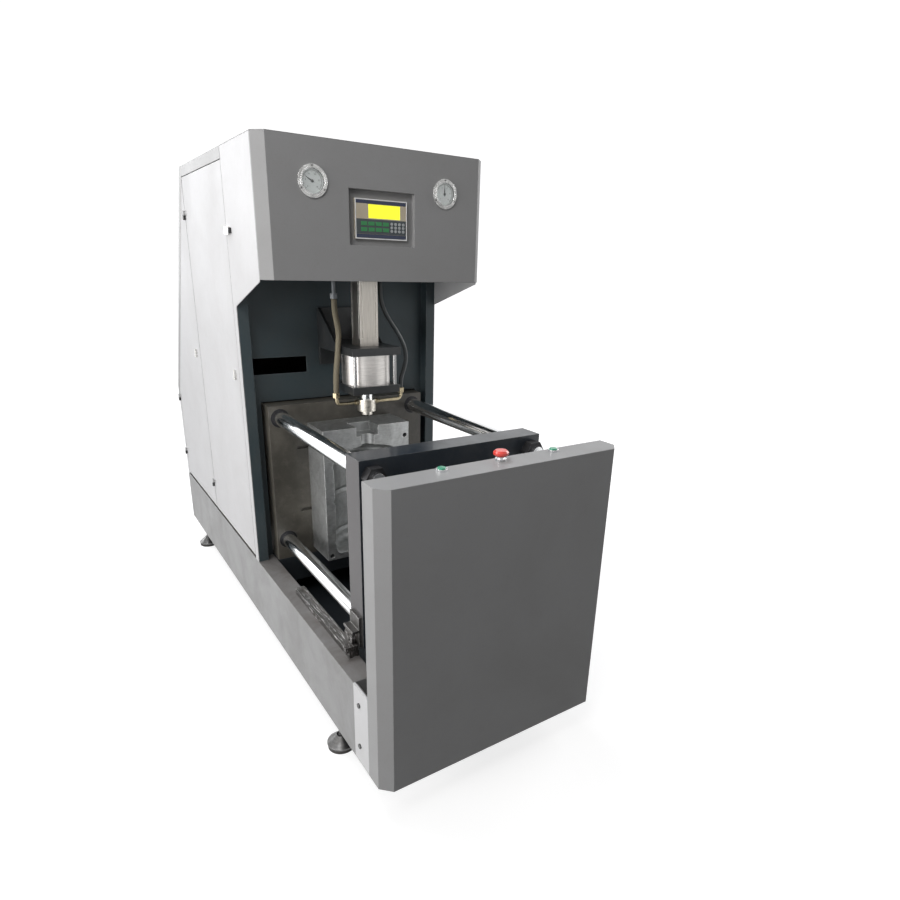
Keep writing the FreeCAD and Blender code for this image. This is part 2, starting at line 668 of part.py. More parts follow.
def make_head_cover():
    body = new_body(0, "head_front", "head_bottom")
    folded_front(body, "0", "corner_chamfer + head_return", "roof - head_bottom")
    lip = rectangle("-half_width + corner_chamfer", "0", "half_width - corner_chamfer", "head_lip")
    pad(body, draw(body, "XY_Plane", [lip]), "cover_sheet")
    low = "tray_bottom - head_bottom"
    opening = rectangle("-tray_width / 2", low, "tray_width / 2", f"{low} + tray_height")
    holes = [(f"{side} * gauge_offset", "gauge_height - head_bottom", "gauge_back / 2 + seat_gap")
             for side in (-1, 1)]
    pocket(body, draw(body, "XZ_Plane", [opening], holes), "cover_sheet + 1")
    node("head_cover", body)


def make_top_cover():
    """One bent sheet: the roof, the slope behind it and the bands folded down both sides."""
    body = new_body("-half_width")
    sheet = [
        ("head_front", "machine_height"), ("slope_top", "machine_height"),
        ("rear_face", "slope_bottom"), ("rear_face", "slope_bottom - skin_drop"),
        ("roof_bend", "roof"), ("head_front", "roof"),
    ]
    pad(body, draw(body, "YZ_Plane", [sheet]), "body_width")
    band = [
        ("door_front", "door_top"), ("door_front", "machine_height"),
        ("slope_top", "machine_height"), ("rear_face", "slope_bottom"),
        ("rear_face", "flange_foot"),
        ("slope_top - (slope_drop - top_band) / slope_fall", "door_top"),
    ]
    for lift in (0, "body_width - cover_sheet"):
        pad(body, draw(body, "YZ_Plane", [band], lift=lift), "cover_sheet")
    corners = [
        [("-1", "head_front - 1"), ("corner_chamfer + 1", "head_front - 1"),
         ("-1", "head_front + corner_chamfer + 1")],
        [("body_width + 1", "head_front - 1"), ("body_width + 1", "head_front + corner_chamfer + 1"),
         ("body_width - corner_chamfer - 1", "head_front - 1")],
    ]
    pocket(body, draw(body, "XY_Plane", corners, lift="machine_height"), "2 * cover_sheet")
    node("top_cover", body)


def make_rear_cover():
    body = new_body(0, "rear_face", "base_top")
    edge = "rear_hinge + hinge_leaf * 2 - rear_face"
    wrap = [
        ("-half_width", edge), ("-half_width", 0), ("half_width", 0), ("half_width", edge),
        ("half_width - cover_sheet", edge), ("half_width - cover_sheet", "-cover_sheet"),
        ("-half_width + cover_sheet", "-cover_sheet"), ("-half_width + cover_sheet", edge),
    ]
    pad(body, draw(body, "XY_Plane", [wrap]), "flange_foot - door_gap - base_top")
    back = rectangle("-post_outside", "-cover_sheet", "post_outside", 0)
    pad(body, draw(body, "XY_Plane", [back]), "slope_bottom - skin_drop - base_top")
    hole = [("inlet_offset", "inlet_rise", "inlet_barrel / 2 + running_gap")]
    pocket(body, draw(body, "XZ_Plane", [], hole), "cover_sheet + 1", reverse=True)
    node("rear_cover", body)


def make_partition():
    edge, crown = "platen_width / 2 + partition_gap", "platen_top + partition_gap"
    outline = [
        ("-post_inside", "base_top"), (f"-({edge})", "base_top"), (f"-({edge})", crown),
        (edge, crown), (edge, "base_top"), ("post_inside", "base_top"),
        ("post_inside", "roof"), ("-post_inside", "roof"),
    ]
    slot = rectangle("-slot_left", "base_top + slot_low", "-slot_right", "base_top + slot_high")
    node("partition", plate(0, "partition_front", 0, "XZ_Plane", [outline, slot], "cover_sheet"))


# ---------------------------------------------------------------------------
# Side doors with their hinges and quarter-turn locks
# ---------------------------------------------------------------------------

PIN_X = "-half_width - hinge_stand"


def door_knuckle(pin_y, z):
    """The upper half of a lift-off hinge and its leaf, on the door's outer face."""
    barrel = rod(PIN_X, pin_y, z, "hinge_knuckle / 2", "hinge_half")
    leaf = box("-half_width - hinge_stand / 2", f"{pin_y} - hinge_flap", z, "hinge_stand / 2",
               "hinge_flap", "hinge_half")
    bore = rod(PIN_X, pin_y, z, "hinge_pin / 2 + running_gap", "hinge_half")
    return cut(fuse(barrel, leaf), bore)


def fixed_knuckle(pin_y, z):
    """The lower half with its pin; its leaf passes through the seam to the post."""
    low = f"{z} - hinge_half - seat_gap"
    barrel = rod(PIN_X, pin_y, low, "hinge_knuckle / 2", "hinge_half")
    pin = rod(PIN_X, pin_y, low, "hinge_pin / 2", "2 * hinge_half - 2 * seat_gap")
    leaf = box(PIN_X, f"{pin_y} + seat_gap", low, "half_width + hinge_stand - jamb_outside",
               "hinge_leaf", "hinge_half")
    return fuse(barrel, pin, leaf)


def folded_door(outline, inner, hinge_y, hinge_heights, lock_spot):
    """A sheet door with returns on its edges, its hinge halves and its lock hole."""
    body = new_body("-half_width")
    pad(body, draw(body, "YZ_Plane", [outline]), "door_depth")
    pan = draw(body, "YZ_Plane", [inner], lift="door_depth")
    pocket(body, pan, "door_depth - cover_sheet")
    hole = draw(body, "YZ_Plane", [], [(*lock_spot, "lock_shaft / 2 + running_gap")],
                lift="cover_sheet")
    pocket(body, hole, "cover_sheet + 1")
    knuckles = [door_knuckle(hinge_y, z) for z in hinge_heights]
    return fuse(body, *knuckles)


def quarter_turn_lock(y, z):
    """A lock with its outer grip, its shaft through the door and its cam behind it."""
    reach = "half_width - post_inside + lock_cam_sheet + lock_cam_gap"
    grip = box("-half_width - lock_grip", f"{y} - lock_width / 2", f"{z} - lock_length / 2",
               "lock_grip - running_gap", "lock_width", "lock_length")
    shaft = rod("-half_width - lock_grip", y, z, "lock_shaft / 2", f"{reach} + lock_grip", "x")
    cam = box("-post_inside + lock_cam_gap", f"{y} - lock_width / 2", f"{z} - lock_width / 2",
              "lock_cam_sheet", "lock_width", "lock_cam + lock_width / 2")
    return fuse(grip, shaft, cam)


def make_doors():
    lock_z = "base_top + lock_rise"
    main_lock = ("door_front + lock_inset", lock_z)
    rear_lock = ("door_seam + rear_lock_inset", lock_z)
    rear_edge = "door_seam - door_gap"
    top_edge = "door_top - door_gap"
    main = rectangle("door_front", "door_bottom", rear_edge, top_edge)
    main_inner = rectangle("door_front + cover_sheet", "door_bottom + cover_sheet",
                           f"{rear_edge} - cover_sheet", f"{top_edge} - cover_sheet")
    heights = ["base_top + hinge_low", "base_top + hinge_high"]
    node("main_door", folded_door(main, main_inner, "main_pin", heights, main_lock))

    drop = "slope_drop + gap_drop"
    rear = [
        ("rear_door_front", "door_bottom"), ("rear_hinge", "door_bottom"),
        ("rear_hinge", slope_line("rear_hinge", drop)),
        ("rear_door_front", slope_line("rear_door_front", drop)),
    ]
    inner_front, inner_rear = "rear_door_front + cover_sheet", "rear_hinge - cover_sheet"
    inner_drop = f"{drop} + skin_drop"
    rear_inner = [
        (inner_front, "door_bottom + cover_sheet"), (inner_rear, "door_bottom + cover_sheet"),
        (inner_rear, slope_line(inner_rear, inner_drop)),
        (inner_front, slope_line(inner_front, inner_drop)),
    ]
    rear_pin = "rear_hinge + seat_gap * 2"
    rear_heights = ["base_top + hinge_low", "base_top + rear_hinge_high"]
    node("rear_door", folded_door(rear, rear_inner, rear_pin, rear_heights, rear_lock))

    fixed = [fixed_knuckle("main_pin", z) for z in heights]
    fixed += [fixed_knuckle(rear_pin, z) for z in rear_heights]
    node("hinge_leaves", group(*fixed))
    node("main_door_lock", quarter_turn_lock(*main_lock))
    node("rear_door_lock", quarter_turn_lock(*rear_lock))


# ---------------------------------------------------------------------------
# Gauges and controller in the head cover
# ---------------------------------------------------------------------------

def gauge_case(x):
    at = ("gauge_height",)
    flange = rod(x, "head_front - gauge_flange_sheet", *at, "gauge_flange / 2",
                 "gauge_flange_sheet", "y")
    bezel = rod(x, "head_front - gauge_bezel_rise", *at, "gauge_bezel / 2", "gauge_bezel_rise", "y")
    back = rod(x, "head_front", *at, "gauge_back / 2", "gauge_depth", "y")
    well = rod(x, "head_front - gauge_bezel_rise", *at, "gauge_dial / 2",
               "gauge_bezel_rise + gauge_floor", "y")
    return cut(fuse(flange, bezel, back), well)


def gauge_dial(x):
    spot = (x, "dial_front", "gauge_height")
    disc = rod(*spot, "gauge_dial / 2 - running_gap", "dial_sheet", "y")
    hole = rod(*spot, "pointer_spindle / 2 + running_gap", "dial_sheet", "y")
    return cut(disc, hole)


def gauge_pointer(x, reading):
    """A needle at its reading, in degrees from zero at the lower left, on its spindle."""
    turn = f"{reading} - pointer_zero"
    needle = [(f"{along} * sin({turn}) + {across} * cos({turn})",
               f"{along} * cos({turn}) - {across} * sin({turn})")
              for along, across in (("pointer_length", "0"), ("0", "pointer_wing"),
                                    ("(-pointer_tail)", "0"), ("0", "(-pointer_wing)"))]
    front = "dial_front - pointer_gap - pointer_sheet"
    blade = plate(x, front, "gauge_height", "XZ_Plane", [needle], "pointer_sheet")
    hub = rod(x, front, "gauge_height", "pointer_hub / 2", "pointer_sheet", "y")
    spindle = rod(x, front, "gauge_height", "pointer_spindle / 2",
                  "pointer_sheet + pointer_gap + dial_sheet", "y")
    return fuse(blade, hub, spindle)


def make_gauges():
    spots = {"left": "-gauge_offset", "right": "gauge_offset"}
    node("gauge_cases", group(*[gauge_case(x) for x in spots.values()]))
    node("gauge_dials", group(*[gauge_dial(x) for x in spots.values()]))
    glasses = [rod(x, "head_front - gauge_bezel_rise + glass_set", "gauge_height",
                   "gauge_dial / 2 - running_gap", "glass_sheet", "y") for x in spots.values()]
    node("gauge_glasses", group(*glasses))
    for name, x in spots.items():
        node(f"gauge_pointer_{name}", gauge_pointer(x, f"{name}_reading"))


def make_controller():
    start = "head_front + cover_sheet"
    depth = f"tray_floor + cover_sheet - ({start})"
    outer = middle_box(start, "tray_bottom - cover_sheet", "tray_width + 2 * cover_sheet", depth,
                       "tray_height + 2 * cover_sheet")
    inner = middle_box(start, "tray_bottom", "tray_width", f"tray_floor - ({start})", "tray_height")
    window = middle_box("tray_floor", "controller_bottom + window_inset",
                        "controller_width - 2 * window_inset", "cover_sheet",
                        "controller_height - 2 * window_inset")
    node("controller_tray", cut(outer, inner, window))

    bezel = middle_box("controller_front", "controller_bottom", "controller_width",
                       "controller_bezel", "controller_height")
    housing = middle_box("tray_floor", "controller_bottom + controller_inset",
                         "controller_width - 2 * controller_inset", "controller_body",
                         "controller_height - 2 * controller_inset")
    screen_left = "screen_shift - screen_width / 2"
    recess = box(screen_left, "controller_front", "screen_bottom", "screen_width",
                 "screen_recess", "screen_height")
    node("controller_case", cut(fuse(bezel, housing), recess))
    screen = box(f"{screen_left} + running_gap", "controller_front + screen_set",
                 "screen_bottom + running_gap", "screen_width - 2 * running_gap",
                 "screen_recess - screen_set", "screen_height - 2 * running_gap")
    node("controller_screen", screen)


# ---------------------------------------------------------------------------
# Platens, tie bars and the two mould halves
# ---------------------------------------------------------------------------

BAR_SPOTS = [(f"{side} * bar_offset", z) for side in (-1, 1) for z in ("bar_low", "bar_high")]


def mould_slots(y):
    """The two level slots in a platen's face that the mould's clamps slide in."""
    return [middle_box(y, f"base_top + {rise}", "platen_slot_length", "platen_slot_depth",
                       "platen_slot") for rise in ("platen_slot_low", "platen_slot_high")]


def make_platens():
    bush = "bar_width / 2 + bush_wall"
    seats = [(x, z, bush) for x, z in BAR_SPOTS]
    outline = rectangle("-platen_width / 2", "base_top", "platen_width / 2", "platen_top")
    fixed = plate(0, "platen_front", 0, "XZ_Plane", [outline], "platen_thickness", seats)
    node("fixed_platen", cut(fixed, *mould_slots("platen_front")))
    bushes = []
    for x, z in BAR_SPOTS:
        sleeve = rod(x, "platen_front", z, f"{bush} - bush_gap", "platen_thickness", "y")
        bore = rod(x, "platen_front", z, "bar_width / 2 + running_gap", "platen_thickness", "y")
        bushes.append(cut(sleeve, bore))
    node("tie_bar_bushes", group(*bushes))

    stud = "bar_thread / 2 + running_gap"
    outline = rectangle("-moving_width / 2", "moving_bottom", "moving_width / 2", "platen_top")
    seats = [(x, z, stud) for x, z in BAR_SPOTS]
    moving = plate(0, "moving_front", 0, "XZ_Plane", [outline], "platen_thickness", seats)
    node("moving_platen", cut(moving, *mould_slots("moving_rear - platen_slot_depth")))
    node("crosshead", plate(0, "crosshead_front", 0, "XZ_Plane", [outline], "crosshead_thickness",
                            [*seats, (0, "clamp_height", stud)]))


def make_tie_bars():
    bars, nuts = [], []
    for x, z in BAR_SPOTS:
        bars.append(fuse(
            rod(x, "moving_rear", z, "bar_width / 2", "crosshead_front - moving_rear", "y"),
            rod(x, "moving_front - bar_end", z, "bar_thread / 2", "platen_thickness + bar_end", "y"),
            rod(x, "crosshead_front", z, "bar_thread / 2", "crosshead_thickness + bar_end", "y"),
        ))
    spots = [(x, y, z) for x, z in BAR_SPOTS for y in ("moving_front - bar_nut", "crosshead_rear")]
    for x, y, z in [*spots, (0, "crosshead_rear", "clamp_height")]:
        nut = hexagon(x, y, z, "bar_nut_width", "bar_nut", "y")
        nuts.append(cut(nut, rod(x, y, z, "bar_thread / 2 + running_gap", "bar_nut", "y")))
    node("tie_bars", group(*bars))
    node("tie_bar_nuts", group(*nuts))


def bottle_core(y):
    """The bottle's outer form, which the two mould halves are machined to."""
    floor = "mould_bottom + cavity_floor"
    heel = f"{floor} + heel_radius"
    wall_top = f"{floor} + cavity_wall"
    inner = "cavity_radius - heel_radius"
    shoulder = doc.addObject("Part::Ellipsoid", "shoulder")
    bind(shoulder, 0, y, wall_top, Radius1="shoulder_height", Radius2="cavity_radius",
         Radius3="cavity_radius")
    crest = "cavity_radius + ring_swell"
    rings = []
    for ring in ("ring_one", "ring_two", "ring_three"):
        middle = f"{floor} + {ring}"
        rings.append(cone(0, y, f"{middle} - ring_half", "cavity_radius", crest, "ring_half"))
        rings.append(cone(0, y, middle, crest, "cavity_radius", "ring_half"))
    return [
        rod(0, y, floor, inner, "heel_radius"),
        torus(0, y, heel, inner, "heel_radius"),
        rod(0, y, heel, "cavity_radius", f"{wall_top} - ({heel})"),
        shoulder,
        rod(0, y, wall_top, "neck_radius", "mould_height - cavity_floor - cavity_wall"),
        *rings,
    ]


GUIDE_SPOTS = [
    (f"{side} * (mould_width / 2 - guide_inset)", z)
    for side in (-1, 1)
    for z in ("mould_bottom + guide_inset", "mould_top - guide_inset - notch_depth")
]


def make_moulds():
    block = middle_box("mould_axis", "mould_bottom", "mould_width", "mould_depth", "mould_height")
    notch = middle_box("mould_axis", "mould_top - notch_depth", "notch_width", "mould_depth / 2",
                       "notch_depth")
    sockets = [rod(x, "mould_axis", z, "guide_width / 2 + running_gap",
                   "guide_length + guide_relief", "y") for x, z in GUIDE_SPOTS]
    node("rear_mould", cut(block, notch, *sockets, *bottle_core("mould_axis")))

    block = middle_box("moving_rear", "mould_bottom", "mould_width", "mould_depth", "mould_height")
    notch = middle_box("front_parting - mould_depth / 2", "mould_top - notch_depth",
                       "notch_width", "mould_depth / 2", "notch_depth")
    pins = [rod(x, "front_parting", z, "guide_width / 2", "guide_length", "y")
            for x, z in GUIDE_SPOTS]
    half = cut(block, notch, *bottle_core("front_parting"))
    node("front_mould", fuse(half, *pins))


# ---------------------------------------------------------------------------
# Clamp cylinder, track and rollers
# ---------------------------------------------------------------------------

def make_clamp_cylinder():
    at = ("clamp_height",)
    barrel = rod(0, "barrel_start", *at, "clamp_bore / 2 + clamp_wall", "barrel_length", "y")
    bore = rod(0, "barrel_start", *at, "clamp_bore / 2", "barrel_length", "y")
    low = "clamp_height - clamp_cap_width / 2"
    square = ("clamp_cap_width", "clamp_cap", "clamp_cap_width")
    front_cap = middle_box("platen_rear", low, *square)
    rear_cap = middle_box("barrel_start + barrel_length", low, *square)
    hole = rod(0, "barrel_start + barrel_length", *at, "clamp_rod / 2 + running_gap",
               "clamp_cap", "y")
    spread = "(clamp_cap_width / 2 - clamp_rods_inset)"
    rods = [rod(f"{side} * {spread}", "barrel_start", f"clamp_height + {lift} * {spread}",
                "clamp_rods / 2", "barrel_length", "y") for side in (-1, 1) for lift in (-1, 1)]
    node("clamp_cylinder", group(cut(barrel, bore), front_cap, cut(rear_cap, hole), *rods))
    piston = rod(0, "barrel_start + clamp_end", *at, "clamp_bore / 2 - running_gap",
                 "clamp_piston", "y")
    start = "barrel_start + clamp_end"
    shaft = rod(0, start, *at, "clamp_rod / 2", f"crosshead_front - ({start})", "y")
    stud = rod(0, "crosshead_front", *at, "bar_thread / 2", "crosshead_thickness + bar_end", "y")
    node("clamp_rod", fuse(piston, shaft, stud))


def make_track():
    tracks, brackets, rollers = [], [], []
    for side in (-1, 1):
        low = low_x(side, "track_offset + track_width / 2", "track_width")
        rail = box(low, "track_start", "base_top", "track_width", "track_length", "track_height")
        low = low_x(side, "track_stop_offset + track_stop_width / 2", "track_stop_width")
        stop = box(low, "track_start", "base_top + track_height", "track_stop_width", "track_stop",
                   "track_stop_rise")
        tracks.append(fuse(rail, stop))

        start = "moving_front + bracket_start"
        shelf_low = "roller_z + roller_radius + bracket_clear"
        shelf_x = low_x(side, "moving_width / 2 + bracket_shelf", "bracket_shelf")
        cheek_x = low_x(side, "moving_width / 2 + bracket_sheet", "bracket_sheet")
        shelf = box(shelf_x, start, shelf_low, "bracket_shelf", "bracket_length", "bracket_sheet")
        cheek = box(cheek_x, start, "moving_bottom", "bracket_sheet", "bracket_length",
                    "bracket_height")
        axle_length = "roller_width + 2 * seat_gap + axle_head_depth"
        axle_out = f"moving_width / 2 + bracket_sheet + {axle_length}"
        axle = rod(low_x(side, axle_out, axle_length), "roller_y", "roller_z", "axle_width / 2",
                   axle_length, "x")
        head = rod(low_x(side, axle_out, "axle_head_depth"), "roller_y", "roller_z",
                   "axle_head / 2", "axle_head_depth", "x")
        brackets.append(fuse(shelf, cheek, axle, head))

        roller_out = "moving_width / 2 + bracket_sheet + seat_gap + roller_width"
        spot = (low_x(side, roller_out, "roller_width"), "roller_y", "roller_z")
        tyre = rod(*spot, "roller_radius", "roller_width", "x")
        rollers.append(cut(tyre, rod(*spot, "axle_width / 2 + running_gap", "roller_width", "x")))
    node("roller_tracks", group(*tracks))
    node("roller_brackets", group(*brackets))
    node("rollers", group(*rollers))


# ---------------------------------------------------------------------------
# Sealing cylinder, nozzle and stretching cylinder
# ---------------------------------------------------------------------------

def tube_z(bottom, radius, bore, length):
    outer = rod(0, "mould_axis", bottom, radius, length)
    return cut(outer, rod(0, "mould_axis", bottom, bore, length))


def centred(bottom, width, height):
    """A square block round the moulding axis."""
    return middle_box(f"mould_axis - {width} / 2", bottom, width, width, height)


def make_seal_cylinder():
    free_rod = "stretch_rod / 2 + running_gap"
    reach = "partition_front - mould_axis + seal_plate_width / 2"
    deck = middle_box("mould_axis - seal_plate_width / 2", "seal_plate_bottom",
                      "seal_plate_width", reach, "seal_plate")
    flange_low = "seal_plate_bottom - bracket_drop"
    flange = middle_box("partition_front - bracket_flange", flange_low, "seal_plate_width",
                        "bracket_flange", f"seal_plate_top + bracket_lift - ({flange_low})")
    inner_end = "mould_axis + stretch_profile / 2 + web_setback"
    web = [(inner_end, "seal_plate_top"), ("partition_front - bracket_flange", "seal_plate_top"),
           ("partition_front - bracket_flange", "seal_plate_top + bracket_lift")]
    webs = [plate(low_x(side, "seal_plate_width / 2", "bracket_web"), 0, 0, "YZ_Plane", [web],
                  "bracket_web") for side in (-1, 1)]
    bore = rod(0, "mould_axis", "seal_plate_bottom", free_rod, "seal_plate")
    node("cylinder_bracket", cut(fuse(deck, flange, *webs), bore))

    node("seal_barrel", tube_z("seal_barrel_bottom", "seal_barrel_width / 2", "seal_bore / 2",
                               "seal_barrel"))
    cap = centred("seal_cap_bottom", "seal_cap_width", "seal_cap")
    hole = rod(0, "mould_axis", "seal_cap_bottom", "seal_rod / 2 + running_gap", "seal_cap")
    node("seal_cap", cut(cap, hole))
    ties = [rod(f"{side} * seal_tie_offset", f"mould_axis + {depth} * seal_tie_offset",
                "seal_barrel_bottom", "seal_tie_rod / 2", "seal_barrel")
            for side in (-1, 1) for depth in (-1, 1)]
    node("seal_tie_rods", group(*ties))

    piston = rod(0, "mould_axis", "seal_piston_bottom", "seal_bore / 2 - running_gap",
                 "seal_piston")
    shaft = rod(0, "mould_axis", "nozzle_top", "seal_rod / 2",
                "seal_piston_bottom + seal_piston - nozzle_top")
    bore = rod(0, "mould_axis", "nozzle_top", free_rod,
               "seal_piston_bottom + seal_piston - nozzle_top")
    node("seal_piston_rod", cut(fuse(piston, shaft), bore))

    head = rod(0, "mould_axis", "nozzle_bottom", "nozzle_width / 2", "nozzle_height")
    lip = rod(0, "mould_axis", "nozzle_tip", "nozzle_lip_width / 2", "nozzle_lip")
    channel = rod(0, "mould_axis", "nozzle_tip", "nozzle_bore / 2",
                  "nozzle_top - nozzle_crown - nozzle_tip")
    guide = rod(0, "mould_axis", "nozzle_top - nozzle_crown", free_rod, "nozzle_crown")
    node("blow_nozzle", cut(fuse(head, lip), channel, guide))


def make_stretch_cylinder():
    square = centred("profile_bottom", "stretch_profile", "stretch_length")
    grooves = []
    half = "stretch_profile / 2"
    corner = f"{half} - profile_slot_inset - profile_slot"
    for face in (f"{half} - profile_slot_depth", f"-({half})"):
        for start in (corner, f"-({half} - profile_slot_inset)"):
            grooves.append(box(face, f"mould_axis + {start}", "profile_bottom",
                               "profile_slot_depth", "profile_slot", "stretch_length"))
            grooves.append(box(start, f"mould_axis + {face}", "profile_bottom",
                               "profile_slot", "profile_slot_depth", "stretch_length"))
    bore = rod(0, "mould_axis", "profile_bottom", "stretch_bore / 2", "stretch_length")
    low_cap = centred("seal_plate_top", "stretch_profile", "stretch_cap")
    hole = rod(0, "mould_axis", "seal_plate_top", "stretch_rod / 2 + running_gap", "stretch_cap")
    high_cap = centred("profile_top", "stretch_profile", "stretch_cap")
    node("stretch_cylinder", group(cut(square, bore, *grooves), cut(low_cap, hole), high_cap))

    piston = rod(0, "mould_axis", "stretch_piston_bottom", "stretch_bore / 2 - running_gap",
                 "stretch_piston")
    shaft = rod(0, "mould_axis", "stretch_tip + stretch_cone", "stretch_rod / 2",
                "stretch_piston_bottom - stretch_tip - stretch_cone")
    tip = cone(0, "mould_axis", "stretch_tip", "stretch_point / 2", "stretch_rod / 2",
               "stretch_cone")
    node("stretch_rod", fuse(piston, shaft, tip))


# ---------------------------------------------------------------------------
# Air lines
# ---------------------------------------------------------------------------

def elbow(side, reach, bend):
    """A bent pipe with a nut at each end, from the nozzle's port up to its hose."""
    at_nozzle = "nozzle_width / 2"
    x = f"{side} * {reach}"
    inner = f"{reach} - {bend}"
    level = rod(low_x(side, inner, f"{inner} - {at_nozzle}"), "mould_axis", "port_height",
                "pipe_width / 2", f"{inner} - {at_nozzle}", "x")
    curve = doc.addObject("Part::Torus", "bend")
    curve.Angle3 = 90
    bind(curve, f"{side} * ({inner})", "mould_axis", f"port_height + {bend}", Radius1=bend,
         Radius2="pipe_width / 2")
    quarter = FreeCAD.Rotation(FreeCAD.Vector(1, 0, 0), 90)
    turn = FreeCAD.Rotation(FreeCAD.Vector(0, 0, 1), -90 if side > 0 else 180)
    curve.Placement = FreeCAD.Placement(FreeCAD.Vector(), quarter.multiply(turn))
    rise = f"hose_bottom - port_height - {bend}"
    riser = rod(x, "mould_axis", f"port_height + {bend}", "pipe_width / 2", rise)
    nut = hexagon(low_x(side, f"{at_nozzle} + pipe_nut_length", "pipe_nut_length"), "mould_axis",
                  "port_height", "pipe_nut", "pipe_nut_length", "x")
    collar = hexagon(x, "mould_axis", "hose_bottom - hose_nut_length", "hose_nut",
                     "hose_nut_length")
    return fuse(level, curve, riser, nut, collar)


def hanging_pipe(x, bottom):
    """A short pipe that comes down through the shelf, with the nut that holds its hose."""
    pipe = rod(x, "mould_axis", bottom, "drop_width / 2", f"shelf_bottom + shelf_sheet - ({bottom})")
    nut = hexagon(x, "mould_axis", bottom, "hose_nut", "hose_nut_length")
    return fuse(pipe, nut)


def round_path(points):
    """Straight runs joined by tangent arcs, each as large as its two runs allow."""
    edges, radii = [], []
    here = points[0]
    for before, corner, after in zip(points, points[1:], points[2:]):
        towards = (corner - before).normalize()
        away = (after - corner).normalize()
        half_turn = towards.getAngle(away) / 2
        cut_back = 0.45 * min(corner.distanceToPoint(before), corner.distanceToPoint(after))
        radius = cut_back / math.tan(half_turn)
        start, end = corner - towards * cut_back, corner + away * cut_back
        inward = (away - towards).normalize()
        middle = corner + inward * (radius / math.cos(half_turn) - radius)
        edges += [Part.LineSegment(here, start).toShape(), Part.Arc(start, middle, end).toShape()]
        radii.append(radius)
        here = end
    edges.append(Part.LineSegment(here, points[-1]).toShape())
    return Part.Wire(edges), radii


def hose(name, points, width):
    """An air hose swept along its hand-set route in the plane of the moulding axis."""
    path, radii = round_path(points)
    ring = Part.Wire(Part.makeCircle(width / 2, points[0], points[1] - points[0]))
    tube = path.makePipeShell([ring], True, True)
    item = doc.addObject("Part::Feature", name)
    item.Shape = tube
    node(name, item)
    expected = math.pi * width ** 2 / 4 * path.Length
    print(f"{name}: length {path.Length:.0f} mm, radii",
          ", ".join(f"{radius:.0f}" for radius in radii),
          f"mm, volume {tube.Volume / expected:.4f} of section times length")


def make_air_lines():
    axis, low = places.mould_axis, places.hose_bottom
    left_end, right_end = -sizes.left_elbow_reach, sizes.right_elbow_reach
    left_top, right_top = places.left_hose_top, places.right_hose_top
    left_route = [(left_end, low), (left_end, low + 35), (-107, low + 78), (-101, low + 120),
                  (-97, low + 158), (-94, low + 192), (-98, low + 226),
                  (-sizes.left_pipe, low + 262), (-sizes.left_pipe, left_top)]
    right_route = [(right_end, low), (right_end, low + 30), (146, low + 62), (156, low + 96),
                   (153, low + 130), (139, low + 163), (119, low + 195), (97, low + 225),
                   (76, low + 256), (61, low + 292), (sizes.right_pipe, low + 330),
                   (sizes.right_pipe, right_top)]
    for name, route, width in (("hose_left", left_route, sizes.left_hose),
                               ("hose_right", right_route, sizes.right_hose)):
        points = [FreeCAD.Vector(x, axis, z) for x, z in route]
        hose(name, points, width)

    elbows = [elbow(-1, "left_elbow_reach", "left_elbow_bend"),
              elbow(1, "right_elbow_reach", "right_elbow_bend")]
    node("nozzle_elbows", group(*elbows))
    drops = [("-left_pipe", "left_hose_top"), ("right_pipe", "right_hose_top")]
    node("blow_pipes", group(*[hanging_pipe(x, bottom) for x, bottom in drops]))

    back = "mould_axis - shelf_depth / 2"
    front = "mould_axis + shelf_depth / 2"
    reach = "post_inside + shelf_overlap"
    outline = rectangle(f"-({reach})", back, reach, front)
    edge = "stretch_profile / 2 + 2 * seat_gap"
    window = rectangle(f"-({edge})", f"mould_axis - ({edge})", edge, f"mould_axis + {edge}")
    holes = [(x, "mould_axis", "drop_width / 2 + running_gap") for x, _ in drops]
    node("valve_shelf", plate(0, 0, "shelf_bottom", "XY_Plane", [outline, window],
                              "shelf_sheet", holes))
    valves = []
    for side, (x, _) in zip((-1, 1), drops):
        left = low_x(side, f"({x}) * {side} + valve_shift", "valve_width")
        depth = "mould_axis - valve_width / 2"
        block = box(left, depth, "shelf_bottom + shelf_sheet", "valve_width", "valve_width",
                    "valve_block")
        coil = rod(f"{left} + valve_width / 2", "mould_axis",
                   "shelf_bottom + shelf_sheet + valve_block", "coil_width / 2", "coil_height")
        valves.append(fuse(block, coil))
    node("blow_valves", group(*valves))


def make_air_inlet():
    """A bulkhead socket in the rear cover, where the air supply screws in."""
    spot = ("inlet_offset", "base_top + inlet_rise")
    hexagon_head = hexagon(spot[0], "rear_face", spot[1], "inlet_hex", "rear_inset", "y")
    length = "inlet_length - rear_inset"
    barrel = rod(spot[0], f"rear_face - ({length})", spot[1], "inlet_barrel / 2", length, "y")
    nut = hexagon(spot[0], "rear_face - cover_sheet - inlet_nut", spot[1], "inlet_hex",
                  "inlet_nut", "y")
    bore = rod(spot[0], f"rear_face - ({length})", spot[1], "inlet_bore / 2", "inlet_length", "y")
    node("air_inlet", cut(fuse(hexagon_head, barrel, nut), bore))


# ---------------------------------------------------------------------------
# Build and write
# ---------------------------------------------------------------------------

def check_and_write():
    doc.recompute()
    for item in doc.Objects:
        if "Invalid" in item.State or "Error" in item.State:
            raise RuntimeError(f"{item.Name} ({item.Label}) did not build")
    os.makedirs("parts", exist_ok=True)
    for item in nodes:
        if item.Shape.isNull() or not item.Shape.isValid():
            raise RuntimeError(f"{item.Label} has no valid shape")
        item.Shape.exportStep(f"parts/{item.Label}.step")
    print(len(nodes), "sub-parts written")


